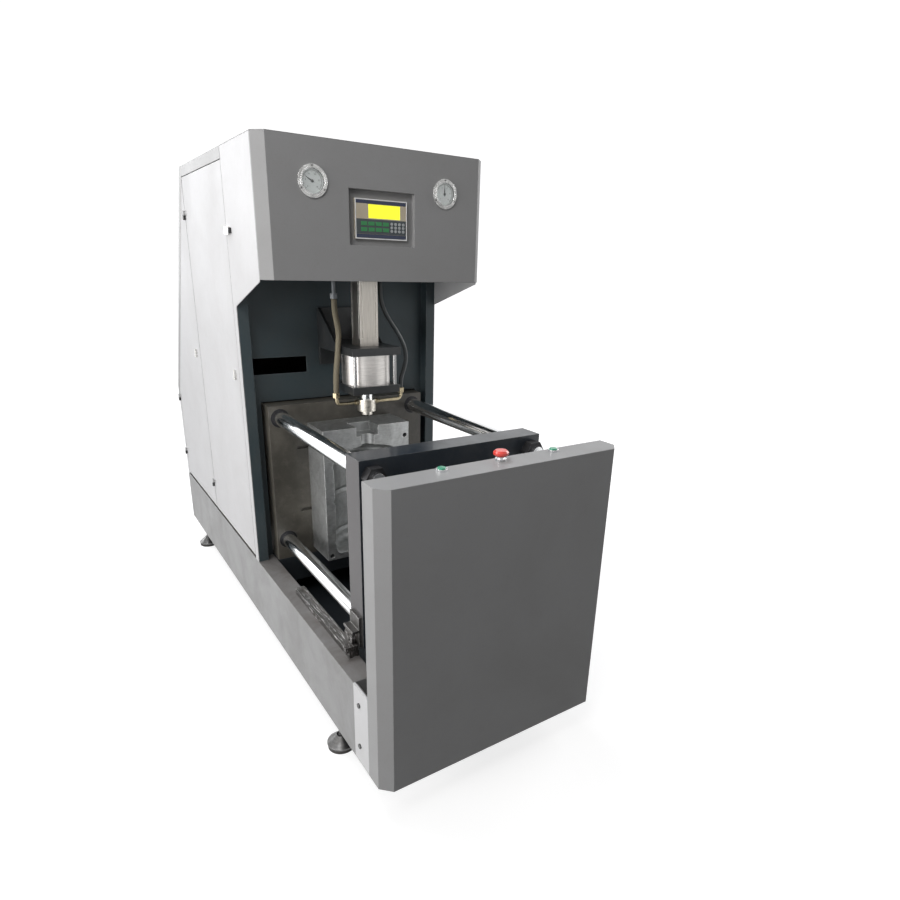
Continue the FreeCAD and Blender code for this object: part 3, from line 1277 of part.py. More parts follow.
make_base()
make_feet()
make_console()
make_buttons()
make_cabinet_frame()
make_side_panels()
make_head_cover()
make_top_cover()
make_rear_cover()
make_partition()
make_doors()
make_gauges()
make_controller()
make_platens()
make_tie_bars()
make_moulds()
make_clamp_cylinder()
make_track()
make_seal_cylinder()
make_stretch_cylinder()
make_air_lines()
make_air_inlet()
check_and_write()
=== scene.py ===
import bmesh
import bpy
import json
import math
from mathutils import Matrix, Vector


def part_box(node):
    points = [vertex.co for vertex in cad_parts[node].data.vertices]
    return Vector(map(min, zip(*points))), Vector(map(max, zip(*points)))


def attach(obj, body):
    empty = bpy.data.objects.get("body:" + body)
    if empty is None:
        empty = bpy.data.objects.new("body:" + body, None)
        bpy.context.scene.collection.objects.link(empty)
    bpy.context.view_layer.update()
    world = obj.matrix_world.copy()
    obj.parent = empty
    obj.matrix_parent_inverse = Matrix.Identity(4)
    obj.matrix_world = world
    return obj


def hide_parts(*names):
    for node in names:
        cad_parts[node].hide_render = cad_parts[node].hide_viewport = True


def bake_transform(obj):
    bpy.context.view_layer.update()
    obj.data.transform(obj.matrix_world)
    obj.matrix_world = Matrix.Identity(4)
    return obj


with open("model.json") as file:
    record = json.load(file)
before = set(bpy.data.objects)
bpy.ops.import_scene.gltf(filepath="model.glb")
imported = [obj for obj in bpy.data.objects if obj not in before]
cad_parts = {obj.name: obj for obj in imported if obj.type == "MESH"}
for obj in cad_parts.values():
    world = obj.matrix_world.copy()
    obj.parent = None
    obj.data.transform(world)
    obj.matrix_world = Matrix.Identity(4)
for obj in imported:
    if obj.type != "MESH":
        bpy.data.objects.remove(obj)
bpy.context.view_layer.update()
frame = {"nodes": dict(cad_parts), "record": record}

# --- Camera -------------------------------------------------------------------
# It stands at the operator's left, a little higher than the console, and looks
# down over the clamp. Its place was worked out from the machine's straight edges.
view_turn, view_tilt, view_roll = (math.radians(angle) for angle in (34.10, 19.51, 1.65))
camera_place = (-0.9207, -2.2235, 1.3969)
ahead = Vector((math.sin(view_turn) * math.cos(view_tilt),
                math.cos(view_turn) * math.cos(view_tilt), -math.sin(view_tilt)))
level = Vector((math.cos(view_turn), -math.sin(view_turn), 0))
upright = level.cross(ahead)
to_right = level * math.cos(view_roll) + upright * math.sin(view_roll)
upwards = upright * math.cos(view_roll) - level * math.sin(view_roll)
lens = bpy.data.cameras.new("camera")
lens.lens, lens.sensor_width, lens.clip_start = 24.94, 36, 0.02
lens.shift_x, lens.shift_y = -0.0110, 0.0419
camera = bpy.data.objects.new("camera", lens)
bpy.context.scene.collection.objects.link(camera)
camera.matrix_world = (Matrix.Translation(camera_place)
                       @ Matrix((to_right, upwards, -ahead)).transposed().to_4x4())
bpy.context.scene.camera = camera

# --- Blowing air hoses --------------------------------------------------------
# The left hose is beige textile braid over rubber, the right one smooth dark rubber.
# Each is pushed on an elbow at the nozzle and on a pipe in the head. The routes give
# x and the height above the elbows, in the plane through the mould's axis.
MOULD_AXIS, HOSE_LOW = -0.272, 0.987
left_route = [(-0.110, 0), (-0.110, 0.035), (-0.107, 0.078), (-0.101, 0.120), (-0.097, 0.158),
              (-0.094, 0.192), (-0.098, 0.226), (-0.106, 0.262), (-0.106, 0.303)]
right_route = [(0.134, 0), (0.134, 0.030), (0.146, 0.062), (0.156, 0.096), (0.153, 0.130),
               (0.139, 0.163), (0.119, 0.195), (0.097, 0.225), (0.076, 0.256), (0.061, 0.292),
               (0.058, 0.330), (0.058, 0.356)]


def place_node(tree, kind, settings=None, **inputs):
    """Adds a node with its settings, and with a plain value or a link at each named input."""
    node = tree.nodes.new(kind)
    for label, value in (settings or {}).items():
        setattr(node, label, value)
    for label, value in inputs.items():
        socket = node.inputs[int(label[1:]) if label[0] == "i" and label[1:].isdigit()
                             else label.replace("_", " ")]
        if isinstance(value, bpy.types.NodeSocket):
            tree.links.new(value, socket)
        else:
            socket.default_value = value
    return node


def calculate(tree, operation, first, second=0.0, third=0.0, clamp=False):
    """One step of arithmetic on values that change over the surface."""
    return place_node(tree, "ShaderNodeMath", {"operation": operation, "use_clamp": clamp},
                      i0=first, i1=second, i2=third).outputs[0]


def remap(tree, value, low, high, to_low=0.0, to_high=1.0):
    """A value stretched from one range to another, and kept within it."""
    return place_node(tree, "ShaderNodeMapRange", Value=value, From_Min=low, From_Max=high,
                      To_Min=to_low, To_Max=to_high).outputs[0]


def noise(tree, place, **values):
    """Soft cloudy noise over the surface."""
    return place_node(tree, "ShaderNodeTexNoise", Vector=place, **values).outputs[0]


def mix_colors(tree, amount, first, second, blend="MIX"):
    """Two colours mixed by an amount, or multiplied."""
    return place_node(tree, "ShaderNodeMix", {"data_type": "RGBA", "blend_type": blend},
                      i0=amount, i6=first, i7=second).outputs[2]


def start_finish(name, color, roughness, metallic=0.0, coat=0.0):
    """A material with its own Principled shader, and its tree to work in."""
    finish = bpy.data.materials.new(name)
    finish.use_nodes = True
    shader = finish.node_tree.nodes["Principled BSDF"]
    shader.inputs["Base Color"].default_value = (*color, 1)
    shader.inputs["Roughness"].default_value = roughness
    shader.inputs["Metallic"].default_value = metallic
    shader.inputs["Coat Weight"].default_value = coat
    return finish, finish.node_tree, shader


def start_group(name, kind, inputs, outputs):
    """A node group with its named sockets: an input is given by its value, or by its kind."""
    kinds = {float: "Float", int: "Int", 3: "Vector", 4: "Color"}
    group = bpy.data.node_groups.new(name, kind)
    for label, value in inputs.items():
        socket = value if isinstance(value, str) else kinds[
            len(value) if isinstance(value, tuple) else type(value)]
        made = group.interface.new_socket(label, in_out="INPUT", socket_type="NodeSocket" + socket)
        if not isinstance(value, str):
            made.default_value = value
    for label, socket in outputs.items():
        group.interface.new_socket(label, in_out="OUTPUT", socket_type="NodeSocket" + socket)
    return group, group.nodes.new("NodeGroupInput").outputs, group.nodes.new("NodeGroupOutput")


def hose_line(name, route):
    """The hose's centreline: a smooth line with the route's points as its control points."""
    curve = bpy.data.curves.new(name, "CURVE")
    curve.dimensions = "3D"
    curve.resolution_u = 16
    spline = curve.splines.new("NURBS")
    spline.points.add(len(route) - 1)
    for point, (x, z) in zip(spline.points, route):
        point.co = (x, MOULD_AXIS, HOSE_LOW + z, 1)
    spline.order_u = 3
    spline.use_endpoint_u = True
    holder = bpy.data.objects.new(name, curve)
    line = bpy.data.meshes.new_from_object(holder)
    points = [vertex.co.copy() for vertex in line.vertices]
    bpy.data.objects.remove(holder)
    bpy.data.meshes.remove(line)
    return points


def hose_skin(name, points, radius, sides):
    """A tube of rings along the line, closed at both ends, with a map whose u goes round it."""
    shell = bmesh.new()
    around = shell.loops.layers.uv.new("wrap")
    rings, travelled = [], [0.0]
    for before, after in zip(points, points[1:]):
        travelled.append(travelled[-1] + (after - before).length)
    for index, point in enumerate(points):
        run = (points[min(index + 1, len(points) - 1)] - points[max(index - 1, 0)]).normalized()
        out = Vector((0, 1, 0))
        beside = run.cross(out)
        rings.append([shell.verts.new(point + radius * (
            math.cos(turn) * beside + math.sin(turn) * out))
            for turn in (math.tau * side / sides for side in range(sides))])
    for index in range(len(points) - 1):
        for side in range(sides):
            following = (side + 1) % sides
            face = shell.faces.new((rings[index][side], rings[index + 1][side],
                                    rings[index + 1][following], rings[index][following]))
            corners = ((side, index), (side, index + 1), (side + 1, index + 1), (side + 1, index))
            for loop, (u, v) in zip(face.loops, corners):
                loop[around].uv = (u / sides, travelled[v] / (math.tau * radius))
            face.smooth = True
    for ring in (rings[0], rings[-1]):
        shell.faces.new(ring)
    bmesh.ops.recalc_face_normals(shell, faces=shell.faces[:])
    mesh = bpy.data.meshes.new(name)
    shell.to_mesh(mesh)
    shell.free()
    hose = bpy.data.objects.new(name, mesh)
    bpy.context.scene.collection.objects.link(hose)
    return hose


def build_textile_braid():
    """Strands that cross round a hose on its map, a little woolly, with dark gaps."""
    group, given, out = start_group(
        "textile_braid", "ShaderNodeTree",
        {"Thread": (0.60, 0.52, 0.38, 1), "Gap": (0.10, 0.08, 0.06, 1), "Strands": 12.0},
        {"Color": "Color", "Height": "Float"})
    wrap = place_node(group, "ShaderNodeUVMap", {"uv_map": "wrap"}).outputs["UV"]
    along = place_node(group, "ShaderNodeSeparateXYZ", Vector=wrap).outputs
    count = calculate(group, "MULTIPLY", given["Strands"], math.tau)
    waves = []
    for slant in ("ADD", "SUBTRACT"):
        phase = calculate(group, "MULTIPLY", calculate(group, slant, along["X"], along["Y"]), count)
        waves.append(calculate(group, "ABSOLUTE", calculate(group, "SINE", phase)))
    raised = calculate(group, "POWER", calculate(group, "MULTIPLY", *waves), 0.45)
    wool = remap(group, noise(group, wrap, Scale=170.0), 0.0, 1.0, to_low=0.82, to_high=1.12)
    strand = mix_colors(group, raised, given["Gap"], given["Thread"])
    group.links.new(mix_colors(group, 1.0, strand, wool, "MULTIPLY"), out.inputs["Color"])
    group.links.new(raised, out.inputs["Height"])
    return group


textile_braid = build_textile_braid()


def hose_cover(name, color, roughness, strength, depth, **values):
    """A hose's outside: the braid with its own colours, and its strands raised."""
    finish, tree, shader = start_finish(name, color, roughness)
    weave = place_node(tree, "ShaderNodeGroup", {"node_tree": textile_braid}, **values)
    ridge = place_node(tree, "ShaderNodeBump", Strength=strength, Distance=depth,
                       Height=weave.outputs["Height"])
    tree.links.new(weave.outputs["Color"], shader.inputs["Base Color"])
    tree.links.new(ridge.outputs["Normal"], shader.inputs["Normal"])
    return finish


braid = hose_cover("beige_braid", (0.6, 0.5, 0.36), 0.7, strength=0.6, depth=0.0012, Strands=6.0,
                   Thread=(0.29, 0.25, 0.17, 1), Gap=(0.05, 0.045, 0.035, 1))
dark_rubber = hose_cover("dark_rubber", (0.025, 0.03, 0.032), 0.42, strength=0.25, depth=0.0006,
                         Strands=9.0, Thread=(0.035, 0.042, 0.045, 1), Gap=(0.012, 0.014, 0.015, 1))

for name, route, radius, sides, finish in (("hose_left", left_route, 0.009, 40, braid),
                                           ("hose_right", right_route, 0.007, 32, dark_rubber)):
    line = hose_line(name + "_line", route)
    hose = hose_skin(name + "_tube", line, radius, sides)
    hose.data.materials.append(finish)
    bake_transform(hose)
    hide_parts(name)

# --- Base frame ---------------------------------------------------------------
# Welded channels and cross beams in grey enamel. Its side is smudged by hands and
# oil, and its edges are rubbed paler. The clamp's tracks are screwed to its ledges.


def find_edges(tree, width, worn_at):
    """How much a point lies on an edge, and the normal of that edge as if rounded."""
    rounded = place_node(tree, "ShaderNodeBevel", {"samples": 4}, Radius=width).outputs[0]
    flat = place_node(tree, "ShaderNodeNewGeometry").outputs["Normal"]
    bend = place_node(tree, "ShaderNodeVectorMath", {"operation": "DOT_PRODUCT"},
                      i0=rounded, i1=flat)
    return remap(tree, bend.outputs["Value"], low=0.99, high=worn_at), rounded


def object_place(tree):
    """The place on the piece, from which all its patterns are drawn."""
    return place_node(tree, "ShaderNodeTexCoord").outputs["Object"]


def build_aged_paint():
    """Paint with soft grime, fine specks, rubbed edges and the skin of a sprayed coat. The edge
    colour is worn paint, on the frame a painted highlight and on the pale paint painted seam shade.
    """
    group, given, out = start_group(
        "aged_paint", "ShaderNodeTree",
        {"Paint": (0.6, 0.6, 0.6, 1), "Grime": (0.2, 0.2, 0.2, 1), "Bare": (0.7, 0.7, 0.7, 1),
         "Grime Amount": 0.3, "Patch Scale": 6.0, "Speck Amount": 0.2, "Edge Width": 0.002,
         "Edge Wear": 0.5, "Roughness": 0.45, "Grain": 0.15},
        {"Color": "Color", "Roughness": "Float", "Normal": "Vector"})
    place = object_place(group)
    patches = noise(group, place, Scale=given["Patch Scale"], Detail=7.0, Roughness=0.62,
                    Distortion=0.5)
    smears = noise(group, place, Scale=38.0, Detail=5.0, Roughness=0.7)
    soiled = calculate(group, "ADD", remap(group, patches, low=0.42, high=0.72),
                       remap(group, smears, low=0.50, high=0.80, to_high=0.6), clamp=True)
    soil = calculate(group, "MULTIPLY", soiled, given["Grime Amount"])
    flecks = noise(group, place, Scale=330.0, Detail=2.0)
    speck = calculate(group, "MULTIPLY", remap(group, flecks, low=0.64, high=0.70),
                      given["Speck Amount"])
    edge, rounded = find_edges(group, given["Edge Width"], worn_at=0.86)
    chips = remap(group, noise(group, place, Scale=70.0, Detail=6.0), low=0.38, high=0.62)
    rub = calculate(group, "MULTIPLY", calculate(group, "MULTIPLY", edge, chips),
                    given["Edge Wear"])
    dull = mix_colors(group, soil, given["Paint"], given["Grime"])
    dotted = mix_colors(group, speck, dull, given["Grime"])
    uneven = remap(group, patches, low=0.3, high=0.7, to_low=-0.06, to_high=0.10)
    skin = noise(group, place, Scale=620.0, Detail=2.0)
    bump = place_node(group, "ShaderNodeBump", Strength=given["Grain"], Distance=0.0004,
                      Height=skin, Normal=rounded)
    group.links.new(mix_colors(group, rub, dotted, given["Bare"]), out.inputs["Color"])
    group.links.new(calculate(group, "ADD", given["Roughness"], uneven, clamp=True),
                    out.inputs["Roughness"])
    group.links.new(bump.outputs["Normal"], out.inputs["Normal"])
    return group


aged_paint = build_aged_paint()


def wear(tree, shader, group, **values):
    """Links a worn surface's colour, roughness and normal to a material's own shader."""
    worn = place_node(tree, "ShaderNodeGroup", {"node_tree": group}, **values)
    tree.links.new(worn.outputs["Color"], shader.inputs["Base Color"])
    for label in ("Roughness", "Normal"):
        tree.links.new(worn.outputs[label], shader.inputs[label])


def paint(name, color, grime, bare, coat=0.0, gloss=0.5, **values):
    """A sprayed finish: the aged paint group with this piece's own colours and wear."""
    finish, tree, shader = start_finish(name, color, 0.45, coat=coat)
    shader.inputs["Specular IOR Level"].default_value = gloss
    wear(tree, shader, aged_paint, Paint=(*color, 1), Grime=(*grime, 1), Bare=(*bare, 1), **values)
    return finish


def dress(finish, *nodes):
    """Puts a finish on CAD nodes."""
    for node in nodes:
        for held in frame["nodes"][node].material_slots:
            held.material = finish


def frame_slot(node):
    """The record's material slot of a CAD node."""
    return next(part["material_slot"] for part in frame["record"]["subparts"]
                if part["node"] == node)


base_enamel = paint("base_enamel", (0.22, 0.22, 0.222), (0.15, 0.145, 0.135), (0.52, 0.52, 0.53),
                    Grime_Amount=0.35, Patch_Scale=7.0, Speck_Amount=0.5, Edge_Width=0.003,
                    Edge_Wear=0.8, Roughness=0.42, Grain=0.25)
# A ledge's inner edge in x, and how squarely a face has to look along an axis.
LEDGE_INNER, TURNED = 0.3048, 0.9


def darken_inside(finish, well_shade, soiled):
    """Painted shade between the ledges, where the well is coloured near black for its shade, and a
    film of oil and dust on what faces up.
    """
    tree = finish.node_tree
    shader = tree.nodes["Principled BSDF"]
    place = object_place(tree)
    across = place_node(tree, "ShaderNodeSeparateXYZ", Vector=place).outputs["X"]
    within = calculate(tree, "LESS_THAN", calculate(tree, "ABSOLUTE", across), LEDGE_INNER)
    normal = place_node(tree, "ShaderNodeNewGeometry").outputs["True Normal"]
    rise = place_node(tree, "ShaderNodeSeparateXYZ", Vector=normal).outputs["Z"]
    dust = noise(tree, place, Scale=9.0, Detail=7.0, Roughness=0.68, Distortion=0.6)
    filmed = calculate(tree, "MULTIPLY", calculate(tree, "GREATER_THAN", rise, TURNED),
                       remap(tree, dust, low=0.35, high=0.62, to_low=0.35))
    dirty = mix_colors(tree, filmed, shader.inputs["Base Color"].links[0].from_socket, (*soiled, 1))
    # Near black inside the well between the ledges: painted shade.
    tree.links.new(mix_colors(tree, within, dirty, (*well_shade, 1)), shader.inputs["Base Color"])


# The well between the ledges is painted near black, as painted shade; the film on upward faces is
# dust and oil.
darken_inside(base_enamel, (0.018, 0.022, 0.026), (0.115, 0.105, 0.098))
dress(base_enamel, "base_frame")

# --- Levelling feet and their pads --------------------------------------------
# Turned domes on threaded studs, zinc plated, each with a jam nut and a rubber pad.


def draw_out(tree, place, along):
    """The place stretched along an axis, so that a pattern runs that way."""
    return place_node(tree, "ShaderNodeVectorMath", {"operation": "MULTIPLY"},
                      i0=place, i1=along).outputs[0]


def build_worked_metal():
    """Bare metal with fine tool marks along one direction, stains and rubbed edges."""
    group, given, out = start_group(
        "worked_metal", "ShaderNodeTree",
        {"Metal": (0.6, 0.6, 0.6, 1), "Stain": (0.2, 0.2, 0.2, 1), "Bright": (0.9, 0.9, 0.9, 1),
         "Stain Amount": 0.3, "Patch Scale": 12.0, "Marks Along": (1, 1, 1), "Edge Width": 0.001,
         "Edge Shine": 0.5, "Roughness": 0.35, "Marks": 0.2},
        {"Color": "Color", "Roughness": "Float", "Normal": "Vector"})
    place = object_place(group)
    marks = noise(group, draw_out(group, place, given["Marks Along"]), Scale=30.0, Detail=5.0,
                  Roughness=0.7)
    patches = noise(group, place, Scale=given["Patch Scale"], Detail=7.0, Roughness=0.65,
                    Distortion=0.8)
    stain = calculate(group, "MULTIPLY", remap(group, patches, low=0.42, high=0.70),
                      given["Stain Amount"])
    tint = remap(group, marks, low=0.3, high=0.7, to_low=0.80, to_high=1.16)
    edge, rounded = find_edges(group, given["Edge Width"], worn_at=0.88)
    rub = calculate(group, "MULTIPLY", edge, given["Edge Shine"])
    dull = mix_colors(group, stain, given["Metal"], given["Stain"])
    lined = mix_colors(group, 1.0, dull, tint, "MULTIPLY")
    grain = remap(group, marks, low=0.3, high=0.7, to_low=-0.08, to_high=0.10)
    dry = calculate(group, "MULTIPLY_ADD", stain, 0.25, grain)
    bump = place_node(group, "ShaderNodeBump", Strength=given["Marks"], Distance=0.0002,
                      Height=marks, Normal=rounded)
    group.links.new(mix_colors(group, rub, lined, given["Bright"]), out.inputs["Color"])
    group.links.new(calculate(group, "ADD", given["Roughness"], dry, clamp=True),
                    out.inputs["Roughness"])
    group.links.new(bump.outputs["Normal"], out.inputs["Normal"])
    return group


worked_metal = build_worked_metal()


def metal(name, color, stain, bright, **values):
    """A bare or plated metal: the worked metal group with this piece's own colours and marks."""
    finish, tree, shader = start_finish(name, color, 0.35, metallic=1.0)
    wear(tree, shader, worked_metal, Metal=(*color, 1), Stain=(*stain, 1), Bright=(*bright, 1),
         **values)
    return finish


zinc = metal("foot_zinc", (0.13, 0.13, 0.13), (0.07, 0.066, 0.062), (0.50, 0.50, 0.50),
             Stain_Amount=0.5, Patch_Scale=40.0, Marks_Along=(1, 1, 9), Edge_Width=0.0015,
             Roughness=0.34, Marks=0.15)
dress(zinc, "levelling_feet")
pad_rubber = paint("pad_rubber", (0.03, 0.03, 0.03), (0.11, 0.10, 0.09), (0.06, 0.06, 0.06),
                   Grime_Amount=0.6, Patch_Scale=30.0, Speck_Amount=0.6, Edge_Width=0.001,
                   Edge_Wear=0.3, Roughness=0.8, Grain=0.5)
dress(pad_rubber, "foot_pads")

# --- Console, its cheek plates and their bolts --------------------------------
# Folded sheet with a back plate, joined to the base by two thick plates with two bolts each. The
# sheet and back plate take a darker grey copy of the pale spray paint, which is painted shade; the
# thick plates take the pale paint itself. The paint is thick, and specked on the corner faces.
# A darker copy of the pale cover paint: a real grey on the roof, painted shade on the head's and
# console's fronts and on the tray.
grey_and_shaded_paint = paint("grey_and_shaded_paint", (0.285, 0.285, 0.288), (0.22, 0.215, 0.20), (0.46, 0.46, 0.47),
                     gloss=0.35, Grime_Amount=0.22, Patch_Scale=2.5, Speck_Amount=0.30,
                     Edge_Width=0.0025, Grain=0.16)
dress(grey_and_shaded_paint, "console_cover", "console_back")
# The pale paint's dark edge colour is partly painted shade of the seams between doors and panels,
# partly worn paint.
pale_paint = paint("pale_paint", (0.60, 0.60, 0.61), (0.44, 0.43, 0.42), (0.26, 0.26, 0.26),
                   gloss=0.12, Grime_Amount=0.22, Patch_Scale=3.0, Speck_Amount=0.25,
                   Edge_Width=0.0030, Edge_Wear=0.8, Roughness=0.55, Grain=0.14)
dress(pale_paint, "console_cheeks")
bolt_steel = metal("bolt_steel", (0.10, 0.10, 0.10), (0.05, 0.045, 0.04), (0.40, 0.40, 0.39),
                   Stain_Amount=0.6, Patch_Scale=60.0, Edge_Width=0.0008, Edge_Shine=0.7,
                   Roughness=0.38, Marks=0.15)
dress(bolt_steel, "cheek_bolts")

# --- Push buttons -------------------------------------------------------------
# Two green start buttons and a red mushroom stop button of moulded plastic, in
# polished collars that are screwed into the console's top.
polished = metal("polished_chrome", (0.78, 0.79, 0.80), (0.45, 0.45, 0.45), (0.95, 0.95, 0.95),
                 Stain_Amount=0.25, Patch_Scale=50.0, Edge_Width=0.0006, Edge_Shine=0.4,
                 Roughness=0.12, Marks=0.03)
dress(polished, "button_collars", "stop_stem")
green_cap = paint("green_cap", (0.005, 0.27, 0.14), (0.01, 0.16, 0.09), (0.05, 0.42, 0.26),
                  coat=0.5, Patch_Scale=120.0, Speck_Amount=0.1, Edge_Width=0.0012, Roughness=0.28,
                  Grain=0.05)
dress(green_cap, "start_button_left", "start_button_right")
red_cap = paint("red_cap", (0.72, 0.045, 0.03), (0.42, 0.02, 0.015), (0.85, 0.16, 0.12), coat=0.5,
                Patch_Scale=90.0, Speck_Amount=0.1, Edge_Wear=0.4, Roughness=0.30, Grain=0.05)
dress(red_cap, "stop_head")

# --- Cabinet frame and partition ----------------------------------------------
# Square tubes, and the sheet between the clamp and the cabinet with its long slot, in dark
# blue-green enamel. The enamel is made darker than it is, as painted shade for the dim inside, and
# its paler edge colour is a painted highlight.
# Near-black colour is partly painted shade; the pale edge colour is a painted highlight.
frame_enamel_and_shade = paint("frame_enamel_and_shade", (0.026, 0.042, 0.049), (0.045, 0.050, 0.050),
                     (0.30, 0.32, 0.33), Grime_Amount=0.5, Patch_Scale=7.0, Speck_Amount=0.4,
                     Edge_Wear=0.7, Roughness=0.50, Grain=0.12)
dress(frame_enamel_and_shade, "cabinet_frame", "partition", "valve_shelf")

# --- Head and cabinet covers --------------------------------------------------
# Folded sheet in the pale spray paint: the column's side, the rear and the right. The head's front
# with its chamfered corners and the roof with its slope and side bands take the darker grey copy:
# on the roof it is a real grey, on the head's front it is painted shade.
dress(grey_and_shaded_paint, "head_cover", "top_cover")
dress(pale_paint, "side_panel_left", "side_panel_right", "rear_cover")

# --- Doors with hinges and locks ----------------------------------------------
# Two folded sheet doors on lift-off hinges of black enamelled steel with countersunk screws, each
# with a nickel-plated quarter-turn lock. A small catch sits by the main door's front edge, with a
# black block at its end that is painted shadow of the catch.


def build_raised_heads():
    """Puts a head on each point: a short prism, its top drawn in and sunk or raised."""
    group, given, out = start_group(
        "raised_heads", "GeometryNodeTree",
        {"Points": "Geometry", "Radius": 0.004, "Rise": 0.003, "Sides": 24, "Turn": 0.0,
         "Stretch": (1, 1, 1), "Crown": 0.6, "Crown Rise": -0.0015, "Finish": "Material"},
        {"Heads": "Geometry"})
    prism = place_node(group, "GeometryNodeMeshCylinder", {"fill_type": "NGON"},
                       Vertices=given["Sides"], Radius=given["Radius"], Depth=given["Rise"]).outputs
    edge = place_node(group, "GeometryNodeExtrudeMesh", {"mode": "FACES"}, Mesh=prism["Mesh"],
                      Selection=prism["Top"], Offset_Scale=0.0).outputs
    drawn_in = place_node(group, "GeometryNodeScaleElements", Geometry=edge["Mesh"],
                          Selection=edge["Top"], Scale=given["Crown"])
    crowned = place_node(group, "GeometryNodeExtrudeMesh", {"mode": "FACES"},
                         Mesh=drawn_in.outputs[0], Selection=edge["Top"],
                         Offset_Scale=given["Crown Rise"])
    middle = calculate(group, "MULTIPLY", given["Rise"], 0.5)
    lift = place_node(group, "ShaderNodeCombineXYZ", Z=middle)
    turning = place_node(group, "ShaderNodeCombineXYZ", Z=given["Turn"])
    seated = place_node(group, "GeometryNodeTransform", Geometry=crowned.outputs["Mesh"],
                        Translation=lift.outputs[0], Rotation=turning.outputs[0])
    shaped = place_node(group, "GeometryNodeTransform", Geometry=seated.outputs[0],
                        Scale=given["Stretch"])
    facing = place_node(group, "GeometryNodeInputNamedAttribute", {"data_type": "FLOAT_VECTOR"},
                        Name="facing")
    aimed = place_node(group, "FunctionNodeAlignRotationToVector", {"axis": "Z"},
                       Vector=facing.outputs[0])
    heads = place_node(group, "GeometryNodeInstanceOnPoints", Points=given["Points"],
                       Instance=shaped.outputs[0], Rotation=aimed.outputs[0])
    real = place_node(group, "GeometryNodeRealizeInstances", Geometry=heads.outputs[0])
    dressed = place_node(group, "GeometryNodeSetMaterial", Geometry=real.outputs[0],
                         Material=given["Finish"])
    group.links.new(dressed.outputs[0], out.inputs["Heads"])
    return group


raised_heads = build_raised_heads()


def set_heads(name, spots, body, slot, finish, **values):
    """One mesh of heads, each at a spot and facing its way, which rides on one body."""
    cloud = bpy.data.meshes.new(name + "_points")
    cloud.from_pydata([spot for spot, facing in spots], [], [])
    ways = cloud.attributes.new("facing", "FLOAT_VECTOR", "POINT")
    for index, (spot, facing) in enumerate(spots):
        ways.data[index].vector = facing
    holder = bpy.data.objects.new(name + "_points", cloud)
    bpy.context.scene.collection.objects.link(holder)
    grown = holder.modifiers.new("heads", "NODES")
    grown.node_group = raised_heads
    sockets = {item.name: item.identifier for item in raised_heads.interface.items_tree
               if item.item_type == "SOCKET" and item.in_out == "INPUT"}
    grown[sockets["Finish"]] = finish
    for label, value in values.items():
        grown[sockets[label.replace("_", " ")]] = value
    bpy.context.view_layer.update()
    made = holder.evaluated_get(bpy.context.evaluated_depsgraph_get())
    mesh = bpy.data.meshes.new_from_object(made)
    bpy.data.objects.remove(holder)
    heads = bpy.data.objects.new(name, mesh)
    bpy.context.scene.collection.objects.link(heads)
    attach(heads, body)


def sit(name, shell, body, finish):
    """A finished piece from a bmesh: its normals point outwards and it rides on one body."""
    bmesh.ops.recalc_face_normals(shell, faces=shell.faces[:])
    mesh = bpy.data.meshes.new(name)
    shell.to_mesh(mesh)
    shell.free()
    mesh.materials.append(finish)
    piece = bpy.data.objects.new(name, mesh)
    bpy.context.scene.collection.objects.link(piece)
    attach(piece, body)


def add_block(shell, low, high, edge):
    """A box between two corners with its edges rounded over."""
    made = bmesh.ops.create_cube(shell, size=1.0)["verts"]
    for vertex in made:
        for axis in range(3):
            vertex.co[axis] = high[axis] if vertex.co[axis] > 0 else low[axis]
    edges = list({line for vertex in made for line in vertex.link_edges})
    bmesh.ops.bevel(shell, geom=edges, offset=edge, segments=2, affect="EDGES", profile=0.6)


dress(pale_paint, "main_door", "rear_door")
hinge_black = paint("hinge_black", (0.014, 0.014, 0.016), (0.05, 0.05, 0.05), (0.14, 0.14, 0.14),
                    coat=0.2, Grime_Amount=0.4, Patch_Scale=60.0, Speck_Amount=0.4,
                    Edge_Width=0.0008, Edge_Wear=0.6, Roughness=0.38, Grain=0.08)
dress(hinge_black, "hinge_leaves")
LEAF_FACE = -0.373
screw_insets, screw_rises = (0.008, 0.016), (0.004, 0.012)
for door, pin_y, hinge_heights in (("main_door", 0.500, (0.482, 1.552)),
                                   ("rear_door", 1.065, (0.482, 0.755))):
    spots = [((LEAF_FACE, pin_y - inset, height + rise), (-1, 0, 0))
             for height in hinge_heights for inset in screw_insets for rise in screw_rises]
    set_heads(door + "_screws", spots, door, frame_slot("hinge_leaves"), bolt_steel,
              Radius=0.0022, Rise=0.0012, Sides=16, Crown=0.5, Crown_Rise=-0.0006)
catch_nickel = metal("catch_nickel", (0.72, 0.71, 0.69), (0.40, 0.39, 0.37), (0.9, 0.9, 0.9),
                     Patch_Scale=60.0, Edge_Width=0.0006, Roughness=0.25, Marks=0.05)
dress(catch_nickel, "main_door_lock", "rear_door_lock")
for name, low, high, edge, like, finish in (
        ("door_catch", (-0.3785, -0.118, 1.470), (-0.3702, -0.076, 1.494), 0.0015,
         "gauge_cases", catch_nickel),
        # A black block beside the catch, standing for the catch's shadow.
        ("door_catch_shadow_block", (-0.3795, -0.132, 1.474), (-0.3702, -0.1185, 1.490), 0.0012,
         "hinge_leaves", hinge_black)):
    shell = bmesh.new()
    add_block(shell, low, high, edge)
    sit(name, shell, "machine", finish)

# --- Gauges -------------------------------------------------------------------
# Two pressure gauges: a polished flange with three screws, a printed dial behind
# glass, and a black pointer on a hub.
GAUGE_X, GAUGE_Z = 0.215, 1.608
SCALE_START, SCALE_SWEEP = -135, 270
dial_face, flange_face = -0.4125, -0.418
gauge_chrome = metal("gauge_chrome", (0.50, 0.50, 0.49), (0.16, 0.16, 0.155), (0.90, 0.90, 0.90),
                     Stain_Amount=0.7, Patch_Scale=45.0, Edge_Shine=0.9, Roughness=0.20, Marks=0.05)
dress(gauge_chrome, "gauge_cases")


